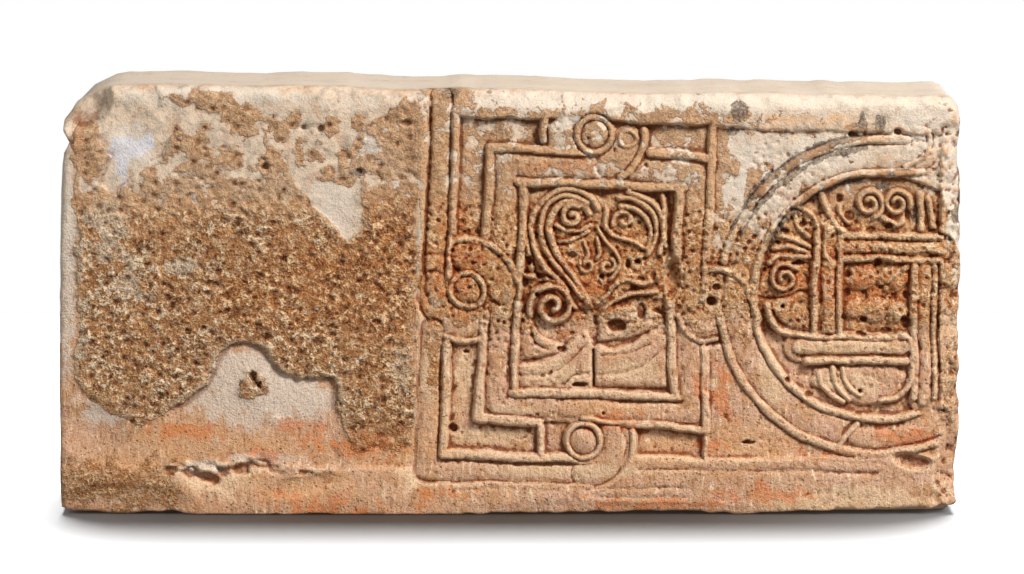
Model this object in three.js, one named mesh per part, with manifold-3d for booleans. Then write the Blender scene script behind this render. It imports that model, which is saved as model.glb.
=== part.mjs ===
// A carved marble lintel fragment: one block, with an interlace of sunk ribbons on its front face.
// Millimetres, +Z up. The carved face looks along -Y, and the origin is under the block's middle.

import * as THREE from 'three';
import { mergeVertices } from 'three/addons/utils/BufferGeometryUtils.js';
import Module from 'manifold-3d';

const wasm = await Module();
wasm.setup();

// The block
const LENGTH = 906;
const HEIGHT = 433;
const DEPTH = 200;
const FACE_Y = -DEPTH / 2;
const FRONT_ARRIS = 14;
const BACK_ARRIS = 8;
const END_ROUGHNESS = 3;
const END_REACH = 12;

// Depths of the carving behind the face
const FILLET_DEPTH = 0.5;
const SPRIG_DEPTH = 1.5;
const SCROLL_DEPTH = 2;
const BAND_DEPTH = 2.5;
const SPANDREL_DEPTH = 4;
const PANEL_LEAF_DEPTH = 4;
const GROOVE_DEPTH = 5;
const CIRCLE_LEAF_DEPTH = 5;
const GROUND_DEPTH = 8;
const CIRCLE_DEPTH = 8.5;
const PANEL_DEPTH = 9.5;

// Widths of the ribbons, each a sunk band between two raised fillets
const FILLET = 8;
const THIN_FILLET = 6;
const RIDGE = 5;
const BAND = 18;
const BED = 26;
const WIDE_BAND = 23;
const WIDE_BED = 32;
const STRAIGHT_BED = 29;
const FILLET_BEVEL = 1.3;

// Radii of a knot, where two ribbons turn round a boss
const BOSS = 12.5;
const DOME_RISE = 2.5;
const DOME_SIDES = 12;
const RING = 17.5;
const RING_GROUND = 21.5;
const RING_TURN = [0, 348];
const TURN_BAND = 35;
const TURN_FILLET = 51;

// How far the chords of an arc may fall inside it
const ARC_SAG = 0.5;

// How many times its own depth a chip's ellipsoid is deep
const CHIP_FLATNESS = 4;

// Where the face ends at the right, before the broken end
const FACE_RIGHT = 432;

// How far cutters stand out of the face, and how deep raised work is rooted in the stone
const CLEAR = 40;
const ROOTED = 26;

// Places on the face are (x, z): across from the block's middle, and up from its underside
const at = (x, z) => new THREE.Vector2(x, z);

// The corners of the frames, all leaning a little to the right of upright
const frame = (topLeft, topRight, bottomRight, bottomLeft) =>
  ({ topLeft, topRight, bottomRight, bottomLeft });
const OUTER = frame(at(-53, 405), at(202, 394), at(196, 54), at(-68, 62));
const INNER = frame(at(-19, 370), at(202, 358), at(197, 84), at(-32, 97));
const PANEL = frame(at(11, 336), at(170, 330), at(165, 119), at(4, 123));

// The middles of the four knots, and what is round the right one
const LEFT_KNOT = at(-43, 226);
const TOP_KNOT = at(84, 383);
const BOTTOM_KNOT = at(74, 74);
const RIGHT_KNOT = at(188, 191);
const RIGHT_RING = 19;
const SMALL_RING = { centre: at(118, 379), radius: 9 };

// The great circle at the right
const CIRCLE = at(368, 220);
const CIRCLE_OUTER = 159;
const CIRCLE_INNER = 124;

// A closed mesh of three.js as a solid that can be cut and joined
function solidOf(geometry) {
  const bare = geometry.clone();
  bare.deleteAttribute('normal');
  bare.deleteAttribute('uv');
  const merged = mergeVertices(bare, 1e-4);
  return new wasm.Manifold(
    new wasm.Mesh({
      numProp: 3,
      vertProperties: new Float32Array(merged.attributes.position.array),
      triVerts: new Uint32Array(merged.index.array),
    }),
  );
}

// Paths on the face
function line(...points) {
  return points;
}

function corners(frame) {
  return [frame.topLeft, frame.topRight, frame.bottomRight, frame.bottomLeft];
}

function middleOf(frameA, frameB) {
  return corners(frameA).map((corner, i) => corner.clone().lerp(corners(frameB)[i], 0.5));
}

// Angles are in degrees, from the right and anticlockwise as seen from the front
function arc(centre, radius, from, to) {
  const step = THREE.MathUtils.radToDeg(2 * Math.acos(1 - ARC_SAG / radius));
  const count = Math.max(2, Math.ceil(Math.abs(to - from) / step));
  const points = [];
  for (let i = 0; i <= count; i++) {
    const angle = THREE.MathUtils.degToRad(from + ((to - from) * i) / count);
    points.push(at(centre.x + radius * Math.cos(angle), centre.y + radius * Math.sin(angle)));
  }
  return points;
}

function curve(points, stepLength = 12) {
  const spline = new THREE.SplineCurve(points);
  const count = Math.max(2, Math.round(spline.getLength() / stepLength));
  return spline.getSpacedPoints(count);
}

function spiral(centre, startRadius, endRadius, from, to, step = 40) {
  const count = Math.max(3, Math.ceil(Math.abs(to - from) / step));
  const points = [];
  for (let i = 0; i <= count; i++) {
    const t = i / count;
    const angle = THREE.MathUtils.degToRad(from + (to - from) * t);
    const radius = startRadius + (endRadius - startRadius) * t;
    points.push(at(centre.x + radius * Math.cos(angle), centre.y + radius * Math.sin(angle)));
  }
  return points;
}

// The sideways direction at each point of a path, lengthened at corners so that a strip keeps its width
function sideways(path, closed) {
  const last = path.length - 1;
  return path.map((point, i) => {
    const before = path[i > 0 ? i - 1 : closed ? last : 0];
    const after = path[i < last ? i + 1 : closed ? 0 : last];
    const into = point.clone().sub(before);
    const out = after.clone().sub(point);
    const a = (into.length() > 0 ? into : out).clone().normalize();
    const b = (out.length() > 0 ? out : into).clone().normalize();
    const mean = a.clone().add(b).normalize();
    const reach = 1 / Math.max(0.55, mean.dot(b));
    return at(-mean.y * reach, mean.x * reach);
  });
}

// A strip of stone along a path, from one depth behind the face to another, with sloping sides if bevelled
function strip(path, width, near, far, closed = false, bevel = 0) {
  const side = sideways(path, closed);
  const positions = [];
  path.forEach((point, i) => {
    const front = width / 2 - bevel;
    const back = width / 2;
    const place = (half, depth) =>
      positions.push(point.x + side[i].x * half, FACE_Y + depth, point.y + side[i].y * half);
    place(front, near);
    place(-front, near);
    place(-back, far);
    place(back, far);
  });
  const faces = [];
  const quad = (a, b, c, d) => faces.push(a, b, c, a, c, d);
  const spans = closed ? path.length : path.length - 1;
  for (let i = 0; i < spans; i++) {
    const here = 4 * i;
    const next = 4 * ((i + 1) % path.length);
    quad(here + 1, next + 1, next, here);
    quad(here + 3, next + 3, next + 2, here + 2);
    quad(here, next, next + 3, here + 3);
    quad(here + 1, here + 2, next + 2, next + 1);
  }
  if (!closed) {
    const end = 4 * spans;
    quad(0, 3, 2, 1);
    quad(end, end + 1, end + 2, end + 3);
  }
  const geometry = new THREE.BufferGeometry();
  geometry.setAttribute('position', new THREE.Float32BufferAttribute(positions, 3));
  geometry.setIndex(faces);
  return solidOf(geometry);
}

// A flat-sided plate with a given outline on the face
function plate(outline, near, far) {
  const shape = new THREE.Shape(outline);
  const geometry = new THREE.ExtrudeGeometry(shape, { depth: far - near, bevelEnabled: false });
  geometry.rotateX(Math.PI / 2);
  geometry.translate(0, FACE_Y + far, 0);
  return solidOf(geometry);
}

// A low dome on a round stem
function dome(centre, radius, near, far, stretch = 1, turn = 0) {
  const profile = [at(0, near), at(radius * 0.7, near + DOME_RISE * 0.3), at(radius, near + DOME_RISE)];
  profile.push(at(radius, far), at(0, far));
  const geometry = new THREE.LatheGeometry(profile, DOME_SIDES);
  geometry.scale(stretch, 1, 1);
  geometry.rotateY(turn);
  geometry.translate(centre.x, FACE_Y, centre.y);
  return solidOf(geometry);
}

// A shallow shell-shaped break: its half sizes at the face, its depth, and its turn in the plane of the face
function chip({ x, z, halfX, halfZ, deep, turn = 0 }) {
  const outward = deep * (CHIP_FLATNESS - 1);
  const spread = 1 / Math.sqrt(1 - (outward / (outward + deep)) ** 2);
  const geometry = new THREE.IcosahedronGeometry(1, 3);
  geometry.scale(halfX * spread, outward + deep, halfZ * spread);
  geometry.rotateY(turn);
  geometry.translate(x, FACE_Y - outward, z);
  return solidOf(geometry);
}

// A steep-sided hole
function hole({ x, z, halfX, halfZ, deep }) {
  const geometry = new THREE.IcosahedronGeometry(1, 1);
  geometry.scale(halfX, deep, halfZ);
  geometry.translate(x, FACE_Y, z);
  return solidOf(geometry);
}

// What a piece of carving does to the face, given as forms that can be made at any depth
const ribbonForm = (path, width, closed = false, bevel = 0) => (near, far) =>
  strip(path, width, near, far, closed, bevel);
const plateForm = (outline) => (near, far) => plate(outline, near, far);
const domeForm = (centre, radius, stretch, turn) => (near, far) =>
  dome(centre, radius, near, far, stretch, turn);

const sink = (stone, depth, forms) =>
  stone.subtract(wasm.Manifold.union(forms.map((form) => form(-CLEAR, depth))));
const raise = (stone, depth, forms) =>
  stone.add(wasm.Manifold.union(forms.map((form) => form(depth, ROOTED))));
const level = (stone, depth, forms) => raise(sink(stone, depth, forms), depth, forms);

const fillet = (path, width = FILLET, closed = false) => ribbonForm(path, width, closed, FILLET_BEVEL);

// The block's worn outline
const TOP_EDGE = [at(-453, 400), at(-433, 414), at(-417, 426), at(-402, 432), at(-326, 433), at(-190, 430),
  at(-60, 427), at(110, 424), at(390, 422), at(425, 421), at(442, 418), at(453, 410)];
const LEFT_END = [at(0, -451), at(40, -453), at(118, -451), at(220, -449), at(330, -447), at(374, -442),
  at(HEIGHT, -445)];
const RIGHT_END = [at(0, 440), at(14, 448), at(60, 447), at(170, 449), at(245, 453), at(310, 451),
  at(370, 446), at(HEIGHT, 448)];

function along(profile, position) {
  const next = profile.findIndex((p) => p.x >= position);
  if (next <= 0) return next === 0 ? profile[0].y : profile[profile.length - 1].y;
  const t = (position - profile[next - 1].x) / (profile[next].x - profile[next - 1].x);
  return THREE.MathUtils.lerp(profile[next - 1].y, profile[next].y, t);
}

// Where the box is divided, close together at the edges and as fractions of each side
const ACROSS = [0, 0.008, 0.022, 0.06, 0.14, 0.28, 0.42, 0.56, 0.7, 0.84, 0.94, 0.978, 0.992, 1];
const UP = [0, 0.016, 0.045, 0.16, 0.32, 0.5, 0.68, 0.84, 0.955, 0.984, 1];
const BACKWARD = [0, 0.036, 0.1, 0.5, 0.96, 1];

function block() {
  const geometry = new THREE.BoxGeometry(1, 1, 1, ACROSS.length - 1, BACKWARD.length - 1, UP.length - 1);
  const position = geometry.attributes.position;
  const inner = new THREE.Vector3();
  const spot = new THREE.Vector3();
  for (let i = 0; i < position.count; i++) {
    const across = ACROSS[Math.round((position.getX(i) + 0.5) * (ACROSS.length - 1))];
    const backward = BACKWARD[Math.round((position.getY(i) + 0.5) * (BACKWARD.length - 1))];
    const up = UP[Math.round((position.getZ(i) + 0.5) * (UP.length - 1))];
    const half = new THREE.Vector3(LENGTH / 2, DEPTH / 2, HEIGHT / 2);
    spot.set(across * 2 - 1, backward * 2 - 1, up * 2 - 1).multiply(half);
    const arris = backward < 0.5 ? FRONT_ARRIS : BACK_ARRIS;
    inner.copy(spot).clamp(half.clone().subScalar(arris).negate(), half.clone().subScalar(arris));
    const outward = spot.clone().sub(inner);
    if (outward.length() > arris) outward.setLength(arris);
    spot.copy(inner).add(outward);
    const z = ((spot.z + HEIGHT / 2) / HEIGHT) * along(TOP_EDGE, spot.x);
    const share = (spot.x + LENGTH / 2) / LENGTH;
    const x = THREE.MathUtils.lerp(along(LEFT_END, z), along(RIGHT_END, z), share);
    const rough = roughEnd(x, spot.y, z);
    position.setXYZ(i, x + rough, spot.y, z);
  }
  return solidOf(geometry);
}

// The ends were broken through, so they bulge and dip away from the front and back edges
function roughEnd(x, y, z) {
  const nearEnd = Math.abs(x) > LENGTH / 2 - END_REACH ? 1 : 0;
  const inward = -Math.sign(x) * nearEnd;
  const wave = 1 + Math.sin(z / 37 + y / 21) * Math.cos(y / 33 - z / 53);
  const clearOfEdges = Math.max(0, 1 - Math.abs(y) / (DEPTH / 2 - 1));
  return inward * END_ROUGHNESS * wave * clearOfEdges;
}

// The places at the left where the crust has flaked off, each with its outline
const FLAKED_FOOT = {
  deep: 5,
  outline: [at(-456, 128), at(-438, 132), at(-425, 119), at(-395, 97), at(-370, 93), at(-345, 107),
    at(-310, 122), at(-300, 155), at(-285, 167), at(-270, 173), at(-252, 162), at(-230, 145),
    at(-185, 141), at(-175, 127), at(-168, 92), at(-176, 60), at(-250, 48), at(-345, 44), at(-380, 62),
    at(-456, 58)],
};
const FLAKED_RECESS = {
  deep: 4,
  outline: [at(-204, 336), at(-176, 340), at(-150, 330), at(-145, 304), at(-150, 280), at(-162, 272),
    at(-180, 290), at(-200, 302), at(-208, 320)],
};
const FLAKED_TOP = {
  deep: 3,
  outline: [at(-402, 378), at(-385, 386), at(-356, 384), at(-354, 368), at(-378, 356), at(-386, 332),
    at(-398, 330), at(-400, 352)],
};
const FLAKED_END = {
  deep: 4,
  outline: [at(-456, 120), at(-456, 372), at(-440, 366), at(-436, 330), at(-431, 280), at(-436, 230),
    at(-430, 190), at(-436, 150), at(-437, 126)],
};

// The shell-shaped breaks at the corners and along the worn edges
const CHIPS = [
  { x: -448, z: 432, halfX: 60, halfZ: 40, deep: 34, turn: 0.5 },
  { x: -258, z: 92, halfX: 84, halfZ: 42, deep: 8, turn: 0.12 },
  { x: -264, z: 146, halfX: 28, halfZ: 24, deep: 9, turn: 0.3 },
  { x: -203, z: 124, halfX: 32, halfZ: 18, deep: 9, turn: -0.2 },
  { x: -420, z: 84, halfX: 46, halfZ: 36, deep: 10, turn: 0.3 },
  { x: -255, z: 43, halfX: 86, halfZ: 9, deep: 7 },
  { x: -390, z: 6, halfX: 80, halfZ: 26, deep: 8 },
  { x: 110, z: 0, halfX: 190, halfZ: 18, deep: 6 },
  { x: 60, z: 428, halfX: 260, halfZ: 20, deep: 6 },
  { x: 300, z: 428, halfX: 160, halfZ: 22, deep: 6 },
  { x: 455, z: 160, halfX: 26, halfZ: 110, deep: 14 },
  { x: 458, z: 330, halfX: 26, halfZ: 90, deep: 14 },
];

function breakAway(stone) {
  let broken = stone;
  for (const flake of [FLAKED_FOOT, FLAKED_RECESS, FLAKED_TOP, FLAKED_END]) {
    broken = sink(broken, flake.deep, [plateForm(flake.outline)]);
  }
  return broken.subtract(wasm.Manifold.union(CHIPS.map(chip)));
}

// The grounds between the ribbons, and the smooth spandrels beside the circle
function sinkGrounds(stone) {
  const spandrels = [at(200, 391), at(330, 388), at(FACE_RIGHT, 384), at(FACE_RIGHT, 56), at(196, 56)];
  let cut = sink(stone, SPANDREL_DEPTH, [plateForm(spandrels)]);
  cut = sink(cut, GROUND_DEPTH, [plateForm(corners(OUTER))]);
  return cut;
}

// The outer ribbon comes down at the left and turns in under the left knot, and a second one starts below it
const OUTER_LEFT = line(at(-68, 418), at(-73, 300), at(-77, 232));
const LOWER_LEFT = line(at(-78, 186), at(-84, 44), at(0, 41), at(80, 38));

function outerRibbons(stone) {
  const turnUnderKnot = arc(LEFT_KNOT, TURN_BAND, 170, 290);
  const turnUnderBottomKnot = arc(BOTTOM_KNOT, TURN_BAND, -88, 18);
  const topEdge = [at(72, 400), at(85, 404), at(110, 400), at(150, 397), at(202, 396), at(260, 391)];
  let cut = level(stone, GROOVE_DEPTH, [
    ribbonForm(OUTER_LEFT, BED),
    ribbonForm(turnUnderKnot, WIDE_BED),
    ribbonForm(LOWER_LEFT, BED),
    ribbonForm(turnUnderBottomKnot, WIDE_BED),
  ]);
  cut = raise(cut, BAND_DEPTH, [
    ribbonForm(OUTER_LEFT, BAND),
    ribbonForm(turnUnderKnot, WIDE_BAND),
    ribbonForm(LOWER_LEFT, BAND),
    ribbonForm(turnUnderBottomKnot, WIDE_BAND),
  ]);
  return raise(cut, FILLET_DEPTH, [
    fillet(line(OUTER.topLeft, at(-62, 232))),
    fillet(line(OUTER.topLeft, at(33, 402))),
    fillet(curve(topEdge, 24)),
    fillet(line(at(-64, 170), OUTER.bottomLeft, at(80, 54))),
    fillet(arc(LEFT_KNOT, TURN_FILLET, 244, 286), THIN_FILLET),
    fillet(line(at(-86, 29), at(86, 26)), THIN_FILLET),
    fillet(line(at(127, 56), at(320, 50), at(372, 48))),
  ]);
}

// The inner ribbon is a sunk ring between two square fillets, and the panel lies inside it
function innerRibbon(stone) {
  let cut = level(stone, GROOVE_DEPTH, [plateForm(corners(INNER))]);
  cut = raise(cut, BAND_DEPTH, [ribbonForm(middleOf(INNER, PANEL), BAND, true)]);
  cut = sink(cut, PANEL_DEPTH, [plateForm(corners(PANEL))]);
  cut = raise(cut, FILLET_DEPTH, [
    fillet(corners(PANEL), FILLET, true),
    fillet(line(at(-24, 279), INNER.topLeft, at(92, 365))),
    fillet(line(at(140, 363), at(202, 358))),
    fillet(line(at(-26, 202), INNER.bottomLeft, at(28, 93))),
    fillet(line(at(112, 92), INNER.bottomRight, at(194, 166))),
    fillet(line(at(202, 392), at(194, 218))),
  ]);
  return cut;
}

// One knot: the visible stretches of the ribbons that turn round its boss
function knot(stone, centre, { bands, fillets }) {
  const turns = bands.map(([from, to]) => arc(centre, TURN_BAND, from, to));
  let cut = level(stone, GROOVE_DEPTH, turns.map((turn) => ribbonForm(turn, WIDE_BED)));
  cut = raise(cut, BAND_DEPTH, turns.map((turn) => ribbonForm(turn, WIDE_BAND)));
  cut = level(cut, GROOVE_DEPTH, [plateForm(arc(centre, RING_GROUND, 0, 340))]);
  return raise(cut, FILLET_DEPTH, [
    ...fillets.map(([from, to]) => fillet(arc(centre, TURN_FILLET, from, to), THIN_FILLET)),
    fillet(arc(centre, RING, ...RING_TURN), THIN_FILLET),
    domeForm(centre, BOSS, 1, 0),
  ]);
}

function knots(stone) {
  let cut = knot(stone, LEFT_KNOT, { bands: [[0, 92]], fillets: [[12, 104]] });
  cut = knot(cut, BOTTOM_KNOT, { bands: [], fillets: [[-80, 12]] });
  cut = knot(cut, TOP_KNOT, { bands: [[-62, 14], [146, 192]], fillets: [[-59, 10], [140, 187]] });
  return raise(cut, FILLET_DEPTH, [
    fillet(arc(SMALL_RING.centre, SMALL_RING.radius, 0, 330), RIDGE - 1),
    fillet(line(at(30, 89), at(31, 62)), THIN_FILLET),
    domeForm(RIGHT_KNOT, BOSS, 1.25, 0.5),
    fillet(arc(RIGHT_KNOT, RIGHT_RING, 150, 330), THIN_FILLET),
  ]);
}

// The great circle is a ribbon too, broken by the right knot and by the block's end
function circle(stone) {
  const middle = (CIRCLE_OUTER + CIRCLE_INNER) / 2;
  const upper = [...arc(CIRCLE, middle, 163, 88), at(412, 362)];
  const lower = arc(CIRCLE, middle, 172, 296);
  const chord = THREE.MathUtils.radToDeg(Math.acos((FACE_RIGHT - CIRCLE.x) / CIRCLE_INNER));
  let cut = sink(stone, CIRCLE_DEPTH, [plateForm(arc(CIRCLE, CIRCLE_INNER, chord, 360 - chord))]);
  cut = level(cut, GROOVE_DEPTH, [ribbonForm(upper, WIDE_BED), ribbonForm(lower, WIDE_BED)]);
  cut = raise(cut, BAND_DEPTH, [
    ribbonForm(upper, WIDE_BAND),
    ribbonForm(arc(CIRCLE, middle, 172, 258), WIDE_BAND),
    ribbonForm(arc(CIRCLE, middle, 262, 296), BAND),
  ]);
  return raise(cut, FILLET_DEPTH, [
    fillet([...arc(CIRCLE, CIRCLE_OUTER, 167, 88), at(395, 377)], FILLET + 1),
    fillet(arc(CIRCLE, CIRCLE_OUTER, 187, 296), FILLET + 1),
    fillet([...arc(CIRCLE, CIRCLE_INNER, 296, 92), at(394, 344), at(412, 346)], FILLET),
    fillet(line(at(348, 86), at(334, 70)), RIDGE),
    fillet(line(at(194, 249), at(218, 246), at(234, 236), at(243, 214), at(248, 196)), THIN_FILLET),
  ]);
}

// Straight ribbons that cross inside the circle, each a narrow band in a bed between fillets
const UPRIGHT = { path: line(at(319, 182), at(319, 289)), band: 10 };
const CROSSBAR = { path: line(at(332, 270), at(432, 268)), band: 9 };
const RIGHT_UPRIGHT = { path: line(at(415, 117), at(415, 252)), band: 9 };
const LOWER_BAR = { path: line(at(290, 169), at(396, 169)), band: 12 };
const STRAIGHT_RIBBONS = [UPRIGHT, CROSSBAR, RIGHT_UPRIGHT, LOWER_BAR];

function circleRibbons(stone) {
  let cut = level(stone, GROOVE_DEPTH, STRAIGHT_RIBBONS.map(({ path }) => ribbonForm(path, STRAIGHT_BED)));
  cut = raise(cut, SPRIG_DEPTH, STRAIGHT_RIBBONS.map(({ path, band }) => ribbonForm(path, band)));
  const underLeaf = [at(258, 212), at(261, 198), at(270, 187), at(284, 181), at(330, 179), at(395, 179)];
  const atRight = [at(397, 179), at(402, 168), at(402, 140), at(397, 126), at(388, 118), at(373, 115)];
  return raise(cut, FILLET_DEPTH, [
    fillet(curve([at(288, 307), at(302, 300), at(306, 286), at(306, 240), at(305, 182)], 14), FILLET),
    fillet(line(at(330, 182), at(330, 289)), RIDGE),
    fillet(line(at(332, 281), at(430, 279)), THIN_FILLET),
    fillet(line(at(332, 258), at(430, 256)), RIDGE + 1),
    fillet(line(at(405, 117), at(405, 252)), FILLET - 1),
    fillet(line(at(425, 117), at(425, 252)), RIDGE),
    fillet(curve(underLeaf, 16), THIN_FILLET),
    fillet(line(at(298, 155), at(395, 155)), FILLET - 1),
    fillet(curve(atRight), THIN_FILLET),
  ]);
}

// The leaves and scrolls inside the circle
const FAN_FOOT = at(301, 268);
const FAN_LEAVES = [{ angle: 128, length: 46 }, { angle: 146, length: 36 }, { angle: 166, length: 32 },
  { angle: 190, length: 30 }];
const CIRCLE_SCROLLS = [at(359, 314), at(387, 314)];
const LEFT_ROSETTE = at(275, 238);
const FRUITS = [{ centre: at(352, 240), radius: 13 }, { centre: at(384, 236), radius: 12 },
  { centre: at(365, 205), radius: 12 }, { centre: at(390, 206), radius: 11 },
  { centre: at(346, 208), radius: 8 }];

function circleLeaves(stone) {
  const ridges = [];
  for (const { angle, length } of FAN_LEAVES) {
    const bend = THREE.MathUtils.degToRad(angle);
    const tip = at(FAN_FOOT.x + length * Math.cos(bend), FAN_FOOT.y + length * Math.sin(bend));
    const middle = FAN_FOOT.clone().lerp(tip, 0.5).add(at(4, 5));
    ridges.push(fillet(curve([FAN_FOOT, middle, tip], 14), RIDGE));
  }
  for (const centre of CIRCLE_SCROLLS) {
    ridges.push(fillet(spiral(centre, 14, 5, -60, 330, 45), RIDGE - 1));
  }
  ridges.push(fillet(spiral(LEFT_ROSETTE, 16, 6, 60, 420, 45), RIDGE - 1));
  ridges.push(fillet(curve([at(312, 322), at(325, 292), at(334, 283)], 16), RIDGE));
  ridges.push(fillet(curve([at(372, 297), at(386, 291), at(400, 299)], 12), RIDGE));
  ridges.push(fillet(line(at(405, 316), at(406, 288)), RIDGE + 1));
  ridges.push(fillet(curve([at(323, 147), at(327, 131), at(340, 115)], 16), RIDGE));
  ridges.push(fillet(curve([at(336, 144), at(340, 131), at(350, 120)], 16), RIDGE));
  for (const { centre, radius } of FRUITS) {
    ridges.push(domeForm(centre, radius, 1.15, 0.4));
  }
  const lowerLeaf = plateForm([at(304, 146), at(384, 148), at(394, 140), at(392, 124), at(372, 110),
    at(352, 108), at(322, 118), at(300, 134)]);
  const leftLeaf = plateForm([at(266, 208), at(276, 196), at(296, 186), at(299, 204), at(282, 214)]);
  const low = raise(stone, CIRCLE_LEAF_DEPTH, [lowerLeaf, leftLeaf]);
  return raise(low, SPRIG_DEPTH, ridges);
}

// The panel's scrolls: one scroll up each side from a stem in the middle, with small volutes between them
const LEFT_EYE = at(62, 300);
const RIGHT_EYE = at(114, 297);
const LEFT_REACH = 19;
const RIGHT_REACH = 22;
const STEM = at(80, 213);

// The outset of a scroll is how far it runs outside the innermost one
function leftScroll(outset) {
  const r = LEFT_REACH + outset;
  return curve([
    at(STEM.x - outset * 0.7, STEM.y - 2),
    at(62 - outset * 0.8, 240),
    at(44 - outset * 0.8, 267),
    at(LEFT_EYE.x - r, LEFT_EYE.y - 5),
    at(LEFT_EYE.x - r * 0.72, LEFT_EYE.y + r * 0.7),
    at(LEFT_EYE.x, LEFT_EYE.y + r * 0.95),
    at(LEFT_EYE.x + r * 0.66, LEFT_EYE.y + r * 0.62),
    at(LEFT_EYE.x + r * 0.9, LEFT_EYE.y),
  ], 10);
}

function rightScroll(outset) {
  const r = RIGHT_REACH + outset;
  return curve([
    at(104 + outset * 0.6, 226),
    at(126 + outset * 0.7, 246),
    at(RIGHT_EYE.x + r, RIGHT_EYE.y - 15),
    at(RIGHT_EYE.x + r * 0.96, RIGHT_EYE.y + 3),
    at(RIGHT_EYE.x + r * 0.6, RIGHT_EYE.y + 1 + r * 0.68),
    at(RIGHT_EYE.x, RIGHT_EYE.y + 1 + r * 0.85),
  ], 10);
}

function panelCarving(stone) {
  const innerRight = [at(133, 268), at(112, 278), at(100, 290), at(98, 306), at(108, 311), at(124, 307)];
  const ridges = [
    fillet(leftScroll(0), RIDGE + 1),
    fillet(leftScroll(8.5), RIDGE - 1),
    fillet(leftScroll(17), RIDGE),
    fillet(spiral(LEFT_EYE, 12, 3, 30, 330, 45), RIDGE),
    fillet(curve([at(46, 291), at(58, 286), at(72, 287), at(80, 291)], 9), RIDGE),
    fillet(curve([at(48, 274), at(60, 277), at(78, 285)], 9), RIDGE - 1),
    fillet(rightScroll(0), RIDGE),
    fillet(rightScroll(8), RIDGE - 1),
    fillet(rightScroll(16), RIDGE),
    fillet(curve(innerRight, 9), RIDGE),
    fillet(curve([at(87, 287), at(97, 274), at(106, 264), at(108, 246), at(102, 236)], 10), RIDGE),
    fillet(curve([at(88, 213), at(98, 222), at(107, 234)], 12), RIDGE),
    fillet(spiral(at(77, 251), 8, 4, 150, 420, 50), RIDGE - 1.5),
    fillet(spiral(at(97, 250), 8, 4, 60, 330, 50), RIDGE - 1.5),
    fillet(line(at(77, 262), at(77, 276)), RIDGE),
    fillet(line(at(89, 262), at(89, 277)), RIDGE),
    fillet(spiral(at(43, 209), 21, 7, 190, -130, 36), RIDGE),
    fillet(curve([at(16, 240), at(36, 236), at(56, 226), at(66, 206)], 12), RIDGE),
    fillet(line(at(14, 320), at(15, 262), at(20, 246)), RIDGE - 1),
    fillet(line(at(152, 322), at(153, 268)), RIDGE - 1),
  ];
  const leaves = [
    plateForm([at(10, 130), at(10, 151), at(34, 158), at(58, 168), at(72, 180), at(82, 172), at(82, 128)]),
    plateForm([at(85, 128), at(85, 168), at(108, 172), at(134, 188), at(152, 190), at(157, 128)]),
    plateForm([at(12, 156), at(14, 200), at(30, 178), at(50, 168), at(36, 160)]),
    plateForm([at(88, 174), at(92, 212), at(118, 216), at(150, 206), at(152, 194), at(118, 180)]),
  ];
  const low = raise(stone, PANEL_LEAF_DEPTH, leaves);
  return raise(low, SCROLL_DEPTH, ridges);
}

// Holes drilled and worn into the carving
const HOLES = [
  { x: 202, z: 215, halfX: 6, halfZ: 6, deep: 17 },
  { x: 132, z: 205, halfX: 5, halfZ: 9, deep: 18 },
  { x: 386, z: 385, halfX: 6, halfZ: 6, deep: 14 },
  { x: -57, z: 87, halfX: 8, halfZ: 7, deep: 16 },
  { x: 107, z: 191, halfX: 12, halfZ: 8, deep: 17 },
  { x: 240, z: 73, halfX: 9, halfZ: 3, deep: 11 },
  { x: 164, z: 238, halfX: 8, halfZ: 20, deep: 15 },
];

function drill(stone) {
  return stone.subtract(wasm.Manifold.union(HOLES.map(hole)));
}

function carvedBlock() {
  const uncarved = block();
  let stone = uncarved;
  stone = sinkGrounds(stone);
  stone = outerRibbons(stone);
  stone = innerRibbon(stone);
  stone = circle(stone);
  stone = circleRibbons(stone);
  stone = circleLeaves(stone);
  stone = panelCarving(stone);
  stone = knots(stone);
  stone = stone.intersect(uncarved);
  stone = breakAway(stone);
  return drill(stone);
}

function meshOf(solid) {
  const { numProp, numVert, vertProperties, triVerts } = solid.getMesh();
  const positions = new Float32Array(numVert * 3);
  for (let i = 0; i < numVert; i++) {
    positions.set(vertProperties.subarray(i * numProp, i * numProp + 3), i * 3);
  }
  const geometry = new THREE.BufferGeometry();
  geometry.setAttribute('position', new THREE.BufferAttribute(positions, 3));
  geometry.setIndex(new THREE.BufferAttribute(triVerts, 1));
  geometry.computeVertexNormals();
  return geometry;
}

const marble = new THREE.MeshStandardMaterial({ color: 0xc9a88a, roughness: 0.85, metalness: 0 });

const lintel = new THREE.Group();
const fragment = new THREE.Mesh(meshOf(carvedBlock()), marble);
fragment.name = 'lintel_fragment';
lintel.add(fragment);

export default lintel;
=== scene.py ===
# The looks of a carved marble lintel fragment: one closed mesh of weathered stone with its sunk interlace.
# Places on the face are (x, z) in millimetres: across from the block's middle, and up from its underside.
# Depths are millimetres behind the face.
import math

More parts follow.
